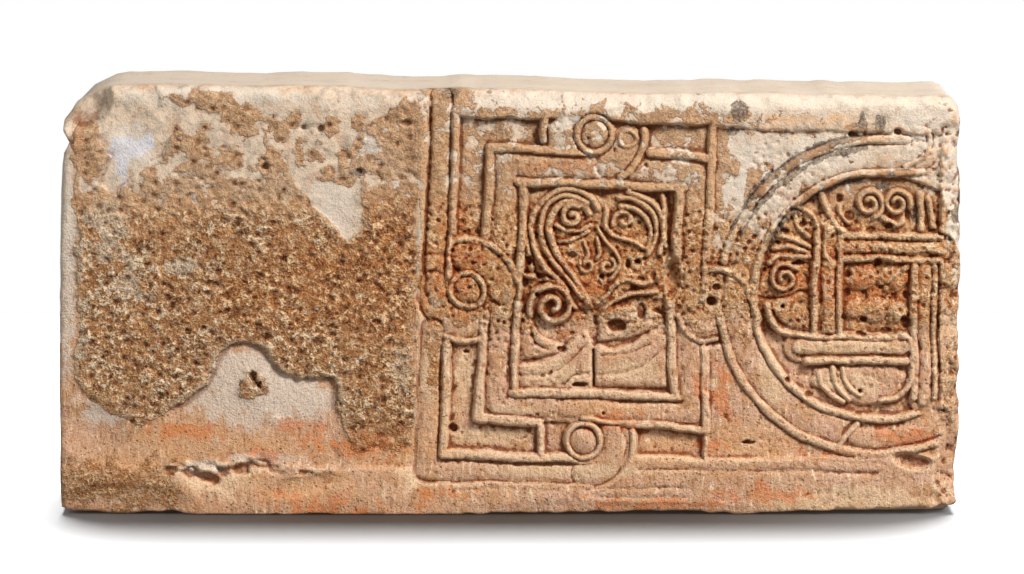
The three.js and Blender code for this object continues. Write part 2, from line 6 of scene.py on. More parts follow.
import bpy
import numpy as np
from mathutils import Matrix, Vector


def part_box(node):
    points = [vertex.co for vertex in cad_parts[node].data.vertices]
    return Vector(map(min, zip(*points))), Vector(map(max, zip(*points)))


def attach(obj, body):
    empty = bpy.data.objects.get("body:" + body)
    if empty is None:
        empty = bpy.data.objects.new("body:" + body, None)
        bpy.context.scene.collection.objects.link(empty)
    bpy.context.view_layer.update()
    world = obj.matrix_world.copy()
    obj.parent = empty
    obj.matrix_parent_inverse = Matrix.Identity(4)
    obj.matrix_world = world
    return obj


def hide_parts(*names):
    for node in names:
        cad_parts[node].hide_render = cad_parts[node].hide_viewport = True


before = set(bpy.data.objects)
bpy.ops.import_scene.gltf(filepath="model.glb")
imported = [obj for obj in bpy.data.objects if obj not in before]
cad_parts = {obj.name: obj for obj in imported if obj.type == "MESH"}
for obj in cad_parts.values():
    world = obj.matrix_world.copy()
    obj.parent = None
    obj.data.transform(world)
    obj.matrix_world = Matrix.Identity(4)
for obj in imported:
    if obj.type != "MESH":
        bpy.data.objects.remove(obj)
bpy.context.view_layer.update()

NODE = "lintel_fragment"
MM = 0.001
LOW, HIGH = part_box(NODE)
FACE = LOW.y / MM
BACK = HIGH.y / MM
TOP = HIGH.z / MM

# The worn outline: the top edge as (x, z), and the two ends as (z, x)
TOP_EDGE = [(-453, 396), (-447, 404), (-441, 414), (-432, 420), (-417, 427), (-402, 432), (-326, 433),
            (-270, 431), (-200, 432), (-150, 430), (-120, 427), (-60, 429), (30, 427), (90, 425),
            (150, 423), (210, 425), (300, 423), (390, 422), (425, 421), (440, 421), (447, 418),
            (453, 409)]
BOTTOM_EDGE = [(-453, 7), (-440, 4), (-385, 0), (-345, 3), (-300, 0), (-180, 0), (-60, 0), (60, 2),
               (150, 4), (196, 3), (230, 1), (290, 3), (345, 5), (392, 6), (428, 5), (453, 8)]
LEFT_END = [(0, -451), (40, -452), (118, -452), (220, -451), (330, -449), (364, -446), (374, -440),
            (386, -446), (402, -446), (433, -446)]
RIGHT_END = [(0, 443), (12, 450), (27, 447), (60, 451), (117, 452), (177, 451), (237, 452), (282, 452),
             (327, 451), (372, 449), (402, 451), (417, 449), (433, 449)]

# How far the outline wavers, how far the ends lie inside the solid's, and the least gap to its right side
# and to its back
BOTTOM_WAVER = 1.2
TOP_WAVER = 0.9
LEFT_WAVER = 0.3
RIGHT_WAVER = 1.8
LEFT_INSIDE = 0.2
RIGHT_INSIDE = 0.8
CLEARANCE = 0.3

# The radius of the front's lower edge, as (x, radius)
BOTTOM_ROUNDING = [(-453, 5), (-400, 3), (-300, 2), (260, 2), (400, 4), (453, 8)]

# Where the plain field at the left ends and the carving starts
FIELD_EDGE = -90.0

# Spacing of the face's points, in the plain field at the left and in the carving
FIELD_STEP = 2.5
CARVED_STEP = 1.4
ROW_STEP = 1.55
RIM_STEPS = (0.0, 0.5, 1.4, 2.8, 4.6)
BACK_STEP = 8.0
BACK_ROUND = 5.0
MOST_TRIANGLES = 196000

# Depths of the carving, as the solid has them
FILLET_DEPTH = 0.5
BAND_DEPTH = 2.5
BAR_DEPTH = 1.3
SPANDREL_DEPTH = 4.0
GROOVE_DEPTH = 5.0
CIRCLE_DEPTH = 8.5
GROUND_DEPTH = 8.0
PANEL_DEPTH = 9.5

# Widths of the ribbons
FILLET = 8.0
THIN_FILLET = 6.0
RIDGE = 5.0
NARROW_GROOVE = 2.5
BAND = 18.0
BED = 26.0
TURN_BAND_WIDTH = 25.0
TURN_BED = 31.0

# How far the cuts waver, as (how far, over what length), and the radii of the front's edges
CUT_WAVER = ((1.3, 26), (0.55, 7))
LEFT_ROUNDING = 6.0
RIGHT_ROUNDING = 9.0
TOP_ROUNDING = 15.0

# The frames' corners: top left, top right, bottom right, bottom left
OUTER = [(-53, 405), (202, 394), (196, 54), (-68, 62)]
INNER = [(-19, 370), (202, 358), (197, 84), (-32, 97)]
PANEL = [(13, 335), (170, 329), (166, 118), (4, 124)]

# The knots, and the radii of what turns round them
LEFT_KNOT = (-43, 226)
TOP_KNOT = (84, 383)
BOTTOM_KNOT = (74, 74)
RIGHT_KNOT = (188, 191)
BOSS = 12.5
RING = 17.5
TURN_BAND = 35.0
TURN_FILLET = 51.0

# The great circle
CIRCLE = (368, 220)
CIRCLE_OUTER = 159.0
CIRCLE_INNER = 124.5
FACE_RIGHT = 432.0


# Numbers that look random but are the same each run
HASH_STRIDES = (374761393, 668265263, 1103515245, 1274126177)
HASH_MASK = 0xFFFFFFFF


def hashed(ix, iy, iz, seed):
    mixed = ix * HASH_STRIDES[0] + iy * HASH_STRIDES[1] + iz * HASH_STRIDES[2] + seed * HASH_STRIDES[3]
    mixed &= HASH_MASK
    mixed = ((mixed ^ (mixed >> 13)) * HASH_STRIDES[3]) & HASH_MASK
    mixed = ((mixed ^ (mixed >> 15)) * HASH_STRIDES[1]) & HASH_MASK
    return ((mixed ^ (mixed >> 16)) & 0xFFFF) / 65535.0


def smooth(t):
    t = np.clip(t, 0.0, 1.0)
    return t * t * (3 - 2 * t)


# Smooth noise from -1 to 1 at points in space, with lumps of about that size
def noise(points, size, seed):
    scaled = points / size
    cell = np.floor(scaled).astype(np.int64)
    part = smooth(scaled - cell)
    total = np.zeros(points.shape[:-1])
    for dx in (0, 1):
        wx = part[..., 0] if dx else 1 - part[..., 0]
        for dy in (0, 1):
            wy = part[..., 1] if dy else 1 - part[..., 1]
            for dz in (0, 1):
                wz = part[..., 2] if dz else 1 - part[..., 2]
                corner = hashed(cell[..., 0] + dx, cell[..., 1] + dy, cell[..., 2] + dz, seed)
                total += wx * wy * wz * corner
    return total * 2 - 1


def rough(points, size, octaves, seed):
    total = 0.0
    strength = 1.0
    for octave in range(octaves):
        total = total + strength * noise(points, size, seed + octave * 17)
        size *= 0.5
        strength *= 0.55
    return total


# Values shifted by noise, with waves as (how far, over what length)
def wavered(values, points, waves, seed):
    for number, (far, size) in enumerate(waves):
        values = values + far * noise(points, size, seed + number)
    return values


# Distance to the nearest of scattered points, in their spacing, with that point's own random number
def scattered(x, z, spacing, seed):
    cx = np.floor(x / spacing).astype(np.int64)
    cz = np.floor(z / spacing).astype(np.int64)
    nearest = np.full(x.shape, 9.0)
    label = np.zeros(x.shape)
    for dx in (-1, 0, 1):
        for dz in (-1, 0, 1):
            px = cx + dx + hashed(cx + dx, cz + dz, cz * 0, seed)
            pz = cz + dz + hashed(cx + dx, cz + dz, cz * 0, seed + 1)
            gap = np.hypot(x / spacing - px, z / spacing - pz)
            closer = gap < nearest
            nearest = np.where(closer, gap, nearest)
            label = np.where(closer, hashed(cx + dx, cz + dz, cz * 0, seed + 2), label)
    return nearest, label


# Paths on the face

def arc(centre, radius, start, end, steps=0):
    count = steps or max(6, int(abs(end - start) * radius / 300))
    angles = np.radians(np.linspace(start, end, count + 1))
    return [(centre[0] + radius * math.cos(a), centre[1] + radius * math.sin(a)) for a in angles]


def spiral(centre, first, last, start, end, steps=28):
    points = []
    for i in range(steps + 1):
        t = i / steps
        a = math.radians(start + (end - start) * t)
        r = first + (last - first) * t
        points.append((centre[0] + r * math.cos(a), centre[1] + r * math.sin(a)))
    return points


# A smooth curve through points
def curve(points, parts=6):
    p = [np.array(q, float) for q in points]
    p = [2 * p[0] - p[1]] + p + [2 * p[-1] - p[-2]]
    out = []
    for i in range(1, len(p) - 2):
        for k in range(parts):
            t = k / parts
            out.append(tuple(0.5 * (2 * p[i] + (p[i + 1] - p[i - 1]) * t
                                    + (2 * p[i - 1] - 5 * p[i] + 4 * p[i + 1] - p[i + 2]) * t * t
                                    + (3 * p[i] - p[i - 1] - 3 * p[i + 1] + p[i + 2]) * t ** 3)))
    out.append(tuple(p[-2]))
    return out


def closed(points):
    return list(points) + [points[0]]


def path_distance(x, z, path):
    best = np.full(x.shape, 1e9)
    for (ax, az), (bx, bz) in zip(path[:-1], path[1:]):
        ux, uz = bx - ax, bz - az
        length = max(ux * ux + uz * uz, 1e-9)
        t = np.clip(((x - ax) * ux + (z - az) * uz) / length, 0, 1)
        gap = (x - ax - t * ux) ** 2 + (z - az - t * uz) ** 2
        best = np.minimum(best, gap)
    return np.sqrt(best)


# Distance to an outline, positive inside it
def inside_distance(x, z, outline):
    ring = closed(outline)
    inside = np.zeros(x.shape, bool)
    for (ax, az), (bx, bz) in zip(ring[:-1], ring[1:]):
        if az == bz:
            continue
        crosses = (az > z) != (bz > z)
        inside ^= crosses & (x < (bx - ax) * (z - az) / (bz - az) + ax)
    gap = path_distance(x, z, ring)
    return np.where(inside, gap, -gap)


def along(profile, position):
    places, values = zip(*profile)
    return np.interp(position, places, values)


# The face's grid

def spaced(start, end, step):
    return list(np.linspace(start, end, max(2, round((end - start) / step)) + 1)[1:-1])


def face_lines():
    left, right = LOW.x / MM, HIGH.x / MM
    rim = RIM_STEPS
    across = [left + r for r in rim]
    across += spaced(left + rim[-1], FIELD_EDGE, FIELD_STEP) + [FIELD_EDGE]
    across += spaced(FIELD_EDGE, right - rim[-1], CARVED_STEP) + [right - r for r in reversed(rim)]
    up = list(rim) + spaced(rim[-1], TOP - rim[-1], ROW_STEP) + [TOP - r for r in reversed(rim)]
    return np.array(across), np.array(up)


class Face:
    """The face as a grid of places (x, z), each with a depth, and the strokes that carve it."""

    def __init__(self):
        across, up = face_lines()
        nominal_x, nominal_z = np.meshgrid(across, up)
        edge = np.stack([nominal_x, nominal_x * 0, nominal_x * 0], -1)
        bottom = np.maximum(along(BOTTOM_EDGE, nominal_x) + BOTTOM_WAVER * noise(edge, 13, 21), 0)
        top = along(TOP_EDGE, nominal_x) - TOP_WAVER - TOP_WAVER * noise(edge, 17, 22)
        self.z = bottom + nominal_z / TOP * (top - bottom)
        share = (nominal_x - across[0]) / (across[-1] - across[0])
        upright = np.stack([self.z, self.z * 0, self.z * 0], -1)
        left = along(LEFT_END, self.z) + LEFT_INSIDE + LEFT_WAVER * noise(upright, 11, 23)
        broken = np.clip(rough(upright, 15, 3, 24), -0.2, 1.2)
        right = along(RIGHT_END, self.z) - RIGHT_INSIDE - RIGHT_WAVER * broken
        right = np.minimum(right, HIGH.x / MM - CLEARANCE)
        self.x = left + (right - left) * share
        self.from_left = self.x - left
        self.from_right = right - self.x
        self.from_top = top - self.z
        self.from_bottom = self.z - bottom
        self.depth = np.zeros(self.x.shape)
        points = self.points()
        self.cut_x = wavered(self.x, points, CUT_WAVER, 11)
        self.cut_z = wavered(self.z, points, CUT_WAVER, 13)
        self.worn = 2.4 * np.clip(0.7 * noise(points, 34, 15) + 0.6 * noise(points, 11, 16) - 0.1, 0, 1)
        self.swell = 0.93 + 0.15 * noise(points, 30, 17) + 0.1 * noise(points, 10, 18)
        self.columns = self.x.mean(0)
        self.rows = self.z.mean(1)

    def points(self):
        return np.stack([self.x, np.full(self.x.shape, FACE), self.z], -1)

    # The part of the grid round a path
    def window(self, path, margin):
        xs, zs = zip(*path)
        c0, c1 = np.searchsorted(self.columns, [min(xs) - margin - 8, max(xs) + margin + 8])
        r0, r1 = np.searchsorted(self.rows, [min(zs) - margin - 14, max(zs) + margin + 14])
        return slice(max(0, r0), r1 + 1), slice(max(0, c0), c1 + 1)

    def near(self, path, margin):
        w = self.window(path, margin)
        return w, path_distance(self.cut_x[w], self.cut_z[w], path)

    def within(self, outline, margin):
        w = self.window(outline, margin)
        return w, inside_distance(self.cut_x[w], self.cut_z[w], outline)

    # A raised line with a nearly flat top, worn in places, and a cut beside it
    def ridge(self, path, width=FILLET, top=FILLET_DEPTH, crown=0.35):
        w, gap = self.near(path, width / 2 + 8)
        half = (width / 2 - 0.5) * self.swell[w]
        rise = top + self.worn[w] + crown * np.clip(gap / half, 0, 1) ** 3 + 2.6 * np.maximum(gap - half, 0)
        self.depth[w] = np.minimum(self.depth[w], rise)
        self.depth[w] += 0.8 * np.exp(-(((gap - half - 1.6) / 1.2) ** 2))

    # A sunk ribbon: a flat bed with a slightly rounded band along its middle
    def ribbon(self, path, band=BAND, bed=BED, top=BAND_DEPTH):
        w, gap = self.near(path, bed / 2 + 2)
        cover = smooth((bed / 2 + 0.6 - gap) / 1.2)
        self.depth[w] += (GROOVE_DEPTH - self.depth[w]) * cover
        half = band / 2
        rise = top + 1.2 * np.clip(gap / half, 0, 1) ** 3 + 2.6 * np.maximum(gap - half, 0)
        self.depth[w] = np.where(cover > 0.5, np.minimum(self.depth[w], rise), self.depth[w])

    # Sinks what is inside an outline to one depth, with sloping walls
    def sink(self, outline, deep, slope=2.2):
        w, into = self.within(outline, 4)
        self.depth[w] = np.maximum(self.depth[w], np.clip(into * slope, 0, deep))

    # Brings what is inside an outline to one depth
    def level(self, outline, deep, soft=1.2):
        w, into = self.within(outline, 4)
        cover = smooth(into / soft + 0.5)
        self.depth[w] += (deep - self.depth[w]) * cover

    # Raises what is inside an outline, with rounded edges
    def leaf(self, outline, top):
        w, into = self.within(outline, 10)
        rise = top + 1.5 * np.exp(-np.maximum(into, 0) / 3.0) + 1.6 * np.maximum(-into, 0)
        self.depth[w] = np.minimum(self.depth[w], rise)

    # A narrow line pressed in
    def groove(self, path, width=2.5, deep=2.0):
        w, gap = self.near(path, width * 2)
        self.depth[w] += deep * np.exp(-((gap / (width * 0.6)) ** 2))

    # A round or oval boss
    def dome(self, centre, radius, top, stretch=1.0, turn=0.0, rise=2.5):
        w = self.window([centre], radius * stretch + 8)
        dx, dz = self.cut_x[w] - centre[0], self.cut_z[w] - centre[1]
        c, s = math.cos(turn), math.sin(turn)
        gap = np.hypot((dx * c + dz * s) / stretch, dz * c - dx * s) / radius
        form = top + rise * np.clip(gap, 0, 1) ** 2 + 2.2 * radius * np.maximum(gap - 1, 0)
        self.depth[w] = np.minimum(self.depth[w], form)

    # A steep-sided hole
    def hole(self, centre, half_x, half_z, deep, torn=0.0):
        w = self.window([centre], max(half_x, half_z) + 4)
        gap = np.hypot((self.cut_x[w] - centre[0]) / half_x, (self.cut_z[w] - centre[1]) / half_z)
        gap += torn * (noise(self.points()[w], 11, 97) + 0.6 * noise(self.points()[w], 4.3, 98))
        self.depth[w] = np.maximum(self.depth[w], deep * smooth((1.12 - gap) / 0.5))

    # A shallow shell-shaped break
    def shell(self, centre, half_x, half_z, deep, turn=0.0):
        w = self.window([centre], max(half_x, half_z))
        dx, dz = self.cut_x[w] - centre[0], self.cut_z[w] - centre[1]
        c, s = math.cos(turn), math.sin(turn)
        gap = ((dx * c - dz * s) / half_x) ** 2 + ((dx * s + dz * c) / half_z) ** 2
        self.depth[w] = np.maximum(self.depth[w], deep * np.clip(1 - gap, 0, 1) ** 0.8)


# The carving, in the order in which one ribbon covers another

def carve_grounds(face):
    face.sink([(200, 391), (330, 388), (FACE_RIGHT, 384), (FACE_RIGHT, 57), (196, 56)], SPANDREL_DEPTH, 1.2)
    face.sink(OUTER, GROUND_DEPTH)


def carve_outer_ribbons(face):
    face.ribbon([(-68, 418), (-73, 300), (-77, 232)])
    face.ribbon(arc(LEFT_KNOT, TURN_BAND, 170, 290), TURN_BAND_WIDTH, TURN_BED)
    face.ribbon([(-78, 186), (-84, 44), (0, 41), (80, 38)])
    face.ribbon(arc(BOTTOM_KNOT, TURN_BAND, -88, 18), TURN_BAND_WIDTH, TURN_BED)
    face.ridge([(-53, 405), (-54, 377), (-57, 327), (-59, 277), (-62, 232)], FILLET - 1)
    face.ridge(curve([(-62, 232), (-60, 220), (-53, 212), (-43, 209), (-31, 209)]), RIDGE, 1.5)
    face.ridge([(-53, 405), (-10, 404), (33, 402)])
    top_line = [(72, 400), (85, 404), (110, 400), (150, 397), (202, 396), (230, 393), (256, 391)]
    face.ridge(curve(top_line))
    face.ridge([(-64, 172), (-64, 137), (-65, 107), (-68, 62), (-10, 60), (40, 57), (80, 54)])
    face.ridge(arc(LEFT_KNOT, TURN_FILLET, 244, 286), THIN_FILLET)
    face.ridge([(-86, 29), (0, 30), (86, 26)], THIN_FILLET)
    face.ridge([(127, 56), (180, 54)])
    face.ridge([(205, 54), (250, 53), (320, 50), (372, 48)])
    face.groove([(-79, 417), (-80, 387), (-81, 357), (-83, 317), (-84, 287), (-86, 227), (-80, 212)], 3, 2.5)
    face.groove([(-88, 262), (-64, 262)], 3, 2.5)
    face.groove([(130, 46), (250, 45), (370, 42)], 3, 2.2)
    face.groove([(85, 27), (180, 26)], 2.5, 1.5)
    face.groove([(80, 18), (178, 17)], 2.5, 1.2)
    face.dome((-68, 423), 7, 0.0, 1.3)


def carve_inner_ribbon(face):
    face.level(INNER, GROOVE_DEPTH)
    middle = [((a[0] + b[0]) / 2, (a[1] + b[1]) / 2) for a, b in zip(INNER, PANEL)]
    w, gap = face.near(closed(middle), BAND)
    rise = BAND_DEPTH + 1.2 * np.clip(gap / (BAND / 2), 0, 1) ** 3 + 2.0 * np.maximum(gap - BAND / 2, 0)
    face.depth[w] = np.minimum(face.depth[w], rise)
    face.sink(PANEL, PANEL_DEPTH)
    face.ridge([(13, 335), (13, 307), (12, 277), (8, 237), (6, 187), (4, 124)], FILLET - 1)
    face.ridge([(8, 336), (90, 333), (130, 331), (173, 330)])
    face.ridge([(2, 123), (50, 123), (90, 122), (130, 120), (168, 117)], FILLET + 1)
    face.ridge([(169, 327), (168, 287), (167, 255)])
    face.ridge([(162, 255), (161, 205), (162, 187), (162, 152), (166, 118)])
    face.ridge([(-24, 279), (-21, 317), (-19, 370), (-10, 369), (50, 367), (92, 365)])
    face.ridge([(140, 363), (170, 362), (202, 358)])
    face.ridge([(-26, 202), (-27, 167), (-29, 137), (-32, 97), (-10, 95), (28, 93)], FILLET + 1)
    face.ridge([(112, 92), (150, 90), (197, 84), (196, 125), (195, 167)])
    face.ridge([(202, 392), (201, 357), (199, 317), (196, 257), (194, 217)])
    face.groove([(158, 325), (158, 270)], 2.5, 3)
    face.groove([(155, 186), (155, 130)], 2.5, 3)
    face.groove([(110, 114), (170, 113)], 3, 2.5)
    face.shell((162, 238), 11, 24, 15)


def knot(face, centre, bands, fillets):
    for start, end in bands:
        face.ribbon(arc(centre, TURN_BAND, start, end), TURN_BAND_WIDTH, TURN_BED)
    face.level(arc(centre, RING + 4, 0, 340), GROOVE_DEPTH)
    for start, end in fillets:
        face.ridge(arc(centre, TURN_FILLET, start, end), THIN_FILLET)
    face.ridge(arc(centre, RING, 0, 348), RIDGE)
    face.dome(centre, BOSS, FILLET_DEPTH)


def carve_knots(face):
    knot(face, LEFT_KNOT, [(0, 92)], [(12, 104)])
    knot(face, BOTTOM_KNOT, [], [(-80, 12)])
    face.level([(37, 372), (39, 392), (50, 402), (70, 402), (84, 383), (66, 366), (46, 366)], 2.2, 4)
    knot(face, TOP_KNOT, [(-62, -10)], [(-59, 6), (140, 187)])
    face.ridge(arc((118, 379), 9, 0, 330), RIDGE - 1)
    face.ridge([(30, 89), (31, 62)], THIN_FILLET)
    face.ridge(curve([(72, 97), (95, 94), (112, 92), (124, 94)]), RIDGE)
    face.groove(curve([(112, 87), (118, 71), (108, 42)]), 2.5, 2)
    face.dome(RIGHT_KNOT, 13, 0.2, 1.25, -0.45)
    face.ridge(curve([(168, 201), (178, 182), (193, 174), (206, 177)]), RIDGE)
    face.groove([(198, 172), (211, 174)], 2.5, 3)


def carve_circle(face):
    middle = (CIRCLE_OUTER + CIRCLE_INNER) / 2
    upper = arc(CIRCLE, middle, 163, 88, 30) + [(412, 362)]
    chord = math.degrees(math.acos((FACE_RIGHT - CIRCLE[0]) / CIRCLE_INNER))
    face.sink(arc(CIRCLE, CIRCLE_INNER, chord, 360 - chord, 64), CIRCLE_DEPTH)
    face.ribbon(upper, TURN_BAND_WIDTH, TURN_BED)
    face.ribbon(arc(CIRCLE, middle, 172, 259, 36), TURN_BAND_WIDTH, TURN_BED)
    face.ribbon(arc(CIRCLE, middle + 2, 262, 296, 16), BAND - 1, TURN_BED)
    face.ridge(arc(CIRCLE, CIRCLE_OUTER - 1, 167, 90, 40) + [(395, 377)])
    face.ridge(arc(CIRCLE, CIRCLE_OUTER, 187, 296, 44), FILLET)
    face.ridge(arc(CIRCLE, CIRCLE_INNER, 296, 98, 70) + [(352, 344), (393, 344), (412, 345)], FILLET - 1)
    face.ridge(curve([(349, 90), (337, 77), (330, 67)]), RIDGE)
    face.ridge(curve([(390, 388), (408, 389), (417, 384), (418, 370), (413, 360), (395, 350)]), RIDGE, 1.0)
    face.ridge([(356, 407), (350, 384)], THIN_FILLET, 1.5)
    face.ridge(curve([(194, 249), (218, 246), (234, 236), (243, 214), (248, 196)]), THIN_FILLET)


def carve_circle_ribbons(face):
    upright = [(319.5, 180), (319.5, 291)]
    crossbar = [(330, 270), (432, 268)]
    right_upright = [(415, 115), (415, 252)]
    lower_bar = [(290, 169), (397, 169)]
    bars = ((upright, 11, 28), (crossbar, 10, 29), (right_upright, 11, 27), (lower_bar, 13, 30))
    for path, band, bed in bars:
        face.ribbon(path, band, bed, BAR_DEPTH)
    face.ridge(curve([(286, 308), (295, 305), (302, 299), (306, 287), (306, 240), (305, 182)]), FILLET - 1)
    face.ridge([(330, 182), (330, 287)], RIDGE)
    face.ridge([(332, 281), (380, 281), (431, 279)], THIN_FILLET)
    face.ridge([(332, 258), (380, 258), (431, 255)], THIN_FILLET)
    face.ridge([(405, 118), (405, 250)], FILLET - 1)
    face.ridge([(425, 118), (425, 250)], RIDGE)
    face.ridge(curve([(258, 212), (261, 199), (268, 188), (281, 182), (325, 179), (395, 179)]), RIDGE)
    face.ridge([(298, 155), (396, 155)], FILLET - 1)
    turn_down = [(390, 181), (399, 178), (402, 168), (402, 142), (398, 128), (388, 119), (372, 115)]
    face.ridge(curve(turn_down), RIDGE)


FAN_LEAVES = [
    [(273, 292), (278, 301), (285, 305), (290, 303)],
    [(285, 301), (289, 290), (299, 280)],
    [(268, 281), (285, 278), (300, 270)],
    [(264, 267), (281, 271), (299, 264)],
    [(260, 253), (272, 261), (300, 260)],
]
CIRCLE_LEAVES = [
    [(306, 146), (384, 149), (396, 141), (393, 126), (372, 112), (352, 110), (324, 120), (302, 134)],
    [(262, 210), (270, 197), (286, 187), (299, 187), (300, 203), (284, 215), (268, 218)],
]
CIRCLE_HOLLOWS = [(293, 293, 5, 4), (275, 286, 6, 3), (268, 274, 4, 3), (290, 254, 10, 3),
                  (340, 301, 7, 7), (360, 287, 6, 4), (378, 291, 6, 4), (398, 301, 4, 9),
                  (330, 318, 5, 6), (302, 315, 5, 4)]
FIELD_HOLLOWS = [(368, 253, 6, 5), (338, 242, 5, 5), (338, 224, 5, 6), (397, 222, 5, 5), (335, 199, 4, 4),
                 (355, 197, 5, 4), (352, 182, 7, 3), (372, 230, 4, 3), (384, 218, 5, 3), (396, 194, 7, 8),
                 (376, 186, 8, 4), (356, 222, 4, 6)]


def carve_circle_leaves(face):
    face.level(FAN_GROUND, 6.0, 4)
    for leaf in FAN_LEAVES:
        face.ridge(curve(leaf), RIDGE, 2.0, 1.5)
    for centre, turn in (((359, 314), -70), ((387, 314), -50)):
        face.ridge(spiral(centre, 15, 4, turn, turn + 560), RIDGE - 1, 1.8)
    face.ridge(spiral((275, 238), 16, 4, 40, 560), RIDGE - 1, 2.5, 1.5)
    face.ridge(curve([(312, 322), (318, 307), (325, 292), (333, 284)]), RIDGE, 0.8)
    face.ridge(curve([(332, 322), (330, 306), (338, 294)]), RIDGE - 1, 2.5)
    face.ridge(curve([(372, 299), (386, 293), (400, 302)]), RIDGE, 1.2)
    face.ridge([(410, 322), (411, 288)], THIN_FILLET, 1.5)
    face.ridge([(418, 318), (423, 290)], RIDGE, 2.0)
    for outline in CIRCLE_LEAVES:
        face.leaf(outline, 4.0)
    face.ridge(curve([(323, 148), (325, 138), (329, 129), (340, 115)]), RIDGE, 1.8)
    face.ridge(curve([(333, 147), (337, 134), (345, 124), (352, 120)]), RIDGE - 0.5, 1.8)
    face.ridge(curve([(310, 143), (312, 133), (320, 124), (334, 113)]), RIDGE, 2.2)
    for x, z, radius in ((352, 240, 13), (384, 238, 13), (366, 207, 12), (388, 204, 10), (346, 208, 9)):
        face.dome((x, z), radius, 3.0, 1.15, 0.4, 3.0)
    face.ridge(curve([(378, 236), (388, 244), (398, 250)]), RIDGE, 2.0)
    for x, z, half_x, half_z in CIRCLE_HOLLOWS + FIELD_HOLLOWS:
        face.hole((x, z), half_x, half_z, 11.5)
    face.groove(curve([(252, 219), (265, 218), (280, 220), (290, 225), (298, 224)]), 2.5, 4)


# The panel's scrolls: one up each side from a stem in the middle, with small volutes between them
LEFT_EYE = (62, 300)
RIGHT_EYE = (114, 297)
LEFT_SCROLLS = [
    [(79, 214), (65, 238), (55, 251), (46, 265), (41, 277), (39, 289), (42, 302), (50, 311), (60, 315),
     (72, 312), (79, 303)],
    [(73, 219), (60, 234), (48, 249), (40, 260), (34, 272), (31, 284), (32, 300), (38, 312), (52, 321),
     (66, 320), (78, 314)],
    [(57, 225), (45, 239), (35, 250), (28, 262), (23, 275), (21, 289), (23, 302), (32, 315), (45, 325),
     (58, 328), (72, 325), (82, 318), (88, 308)],
]
RIGHT_SCROLLS = [
    [(96, 306), (96, 292), (102, 284), (112, 279), (125, 274), (133, 268)],
    [(110, 311), (123, 309), (133, 303), (139, 292), (141, 279), (137, 266)],
    [(108, 319), (122, 319), (133, 314), (142, 305), (147, 292), (145, 276), (138, 262)],
    [(118, 325), (132, 321), (142, 315), (148, 307), (153, 295), (154, 280), (150, 263)],
]
PANEL_TWIGS = [
    [(45, 292), (58, 286), (70, 286), (80, 291)],
    [(48, 275), (60, 277), (78, 285)],
    [(87, 289), (97, 274), (105, 264), (109, 254), (106, 244), (100, 237)],
    [(88, 213), (98, 222), (108, 236)],
    [(95, 208), (106, 216), (122, 222), (146, 224)],
    [(100, 228), (116, 236), (134, 232), (148, 238)],
    [(16, 242), (36, 238), (52, 228), (66, 208)],
    [(24, 226), (40, 232), (56, 222)],
    [(14, 320), (15, 290), (19, 262), (22, 248)],
    [(152, 322), (154, 300), (156, 270)],
    [(74, 276), (78, 262), (74, 256)],
    [(87, 279), (89, 264), (86, 258)],
]
PANEL_LEAVES = [
    ([(11, 130), (10, 150), (30, 153), (50, 161), (66, 178), (77, 183), (82, 172), (82, 148), (80, 128)],
     3.5),
    ([(85, 130), (86, 168), (104, 166), (126, 174), (150, 190), (157, 184), (157, 160), (156, 130)], 3.5),
    ([(12, 158), (12, 200), (20, 196), (28, 180), (46, 172), (52, 166), (32, 160)], 4.5),
    ([(90, 176), (92, 206), (112, 210), (140, 204), (152, 200), (150, 192), (120, 180)], 4.5),
]
LEAF_GROOVES = [
    ([(12, 140), (34, 141), (56, 150), (74, 170)], 3, 1.8),
    ([(88, 140), (112, 143), (136, 152), (155, 168)], 3, 1.8),
    ([(92, 160), (118, 162), (140, 172)], NARROW_GROOVE, 2.2),
    ([(20, 188), (24, 174), (38, 166)], NARROW_GROOVE, 2.5),
    ([(96, 198), (116, 194), (144, 197)], NARROW_GROOVE, 2.5),
    ([(56, 132), (64, 140), (78, 142)], NARROW_GROOVE, 2.5),
]
PANEL_HOLLOWS = [(16, 234, 4, 6), (19, 257, 4, 6), (31, 241, 6, 4), (132, 205, 6, 10), (107, 191, 12, 8),
                 (52, 166, 6, 4), (70, 131, 9, 3), (92, 240, 3, 3), (118, 252, 4, 6), (128, 254, 4, 4),
                 (62, 262, 6, 4), (144, 240, 4, 7), (28, 222, 3, 3), (86, 196, 3, 7), (146, 214, 5, 4)]

# The stone between the scrolls, and between the leaves of the fan, is sunk less than the rest of the ground
PANEL_HEART = [(20, 322), (40, 330), (70, 330), (92, 318), (112, 326), (140, 320), (156, 304), (156, 268),
               (138, 244), (112, 220), (80, 206), (50, 216), (28, 246), (18, 284)]
FAN_GROUND = [(262, 250), (304, 256), (304, 300), (284, 310), (268, 296), (258, 268)]


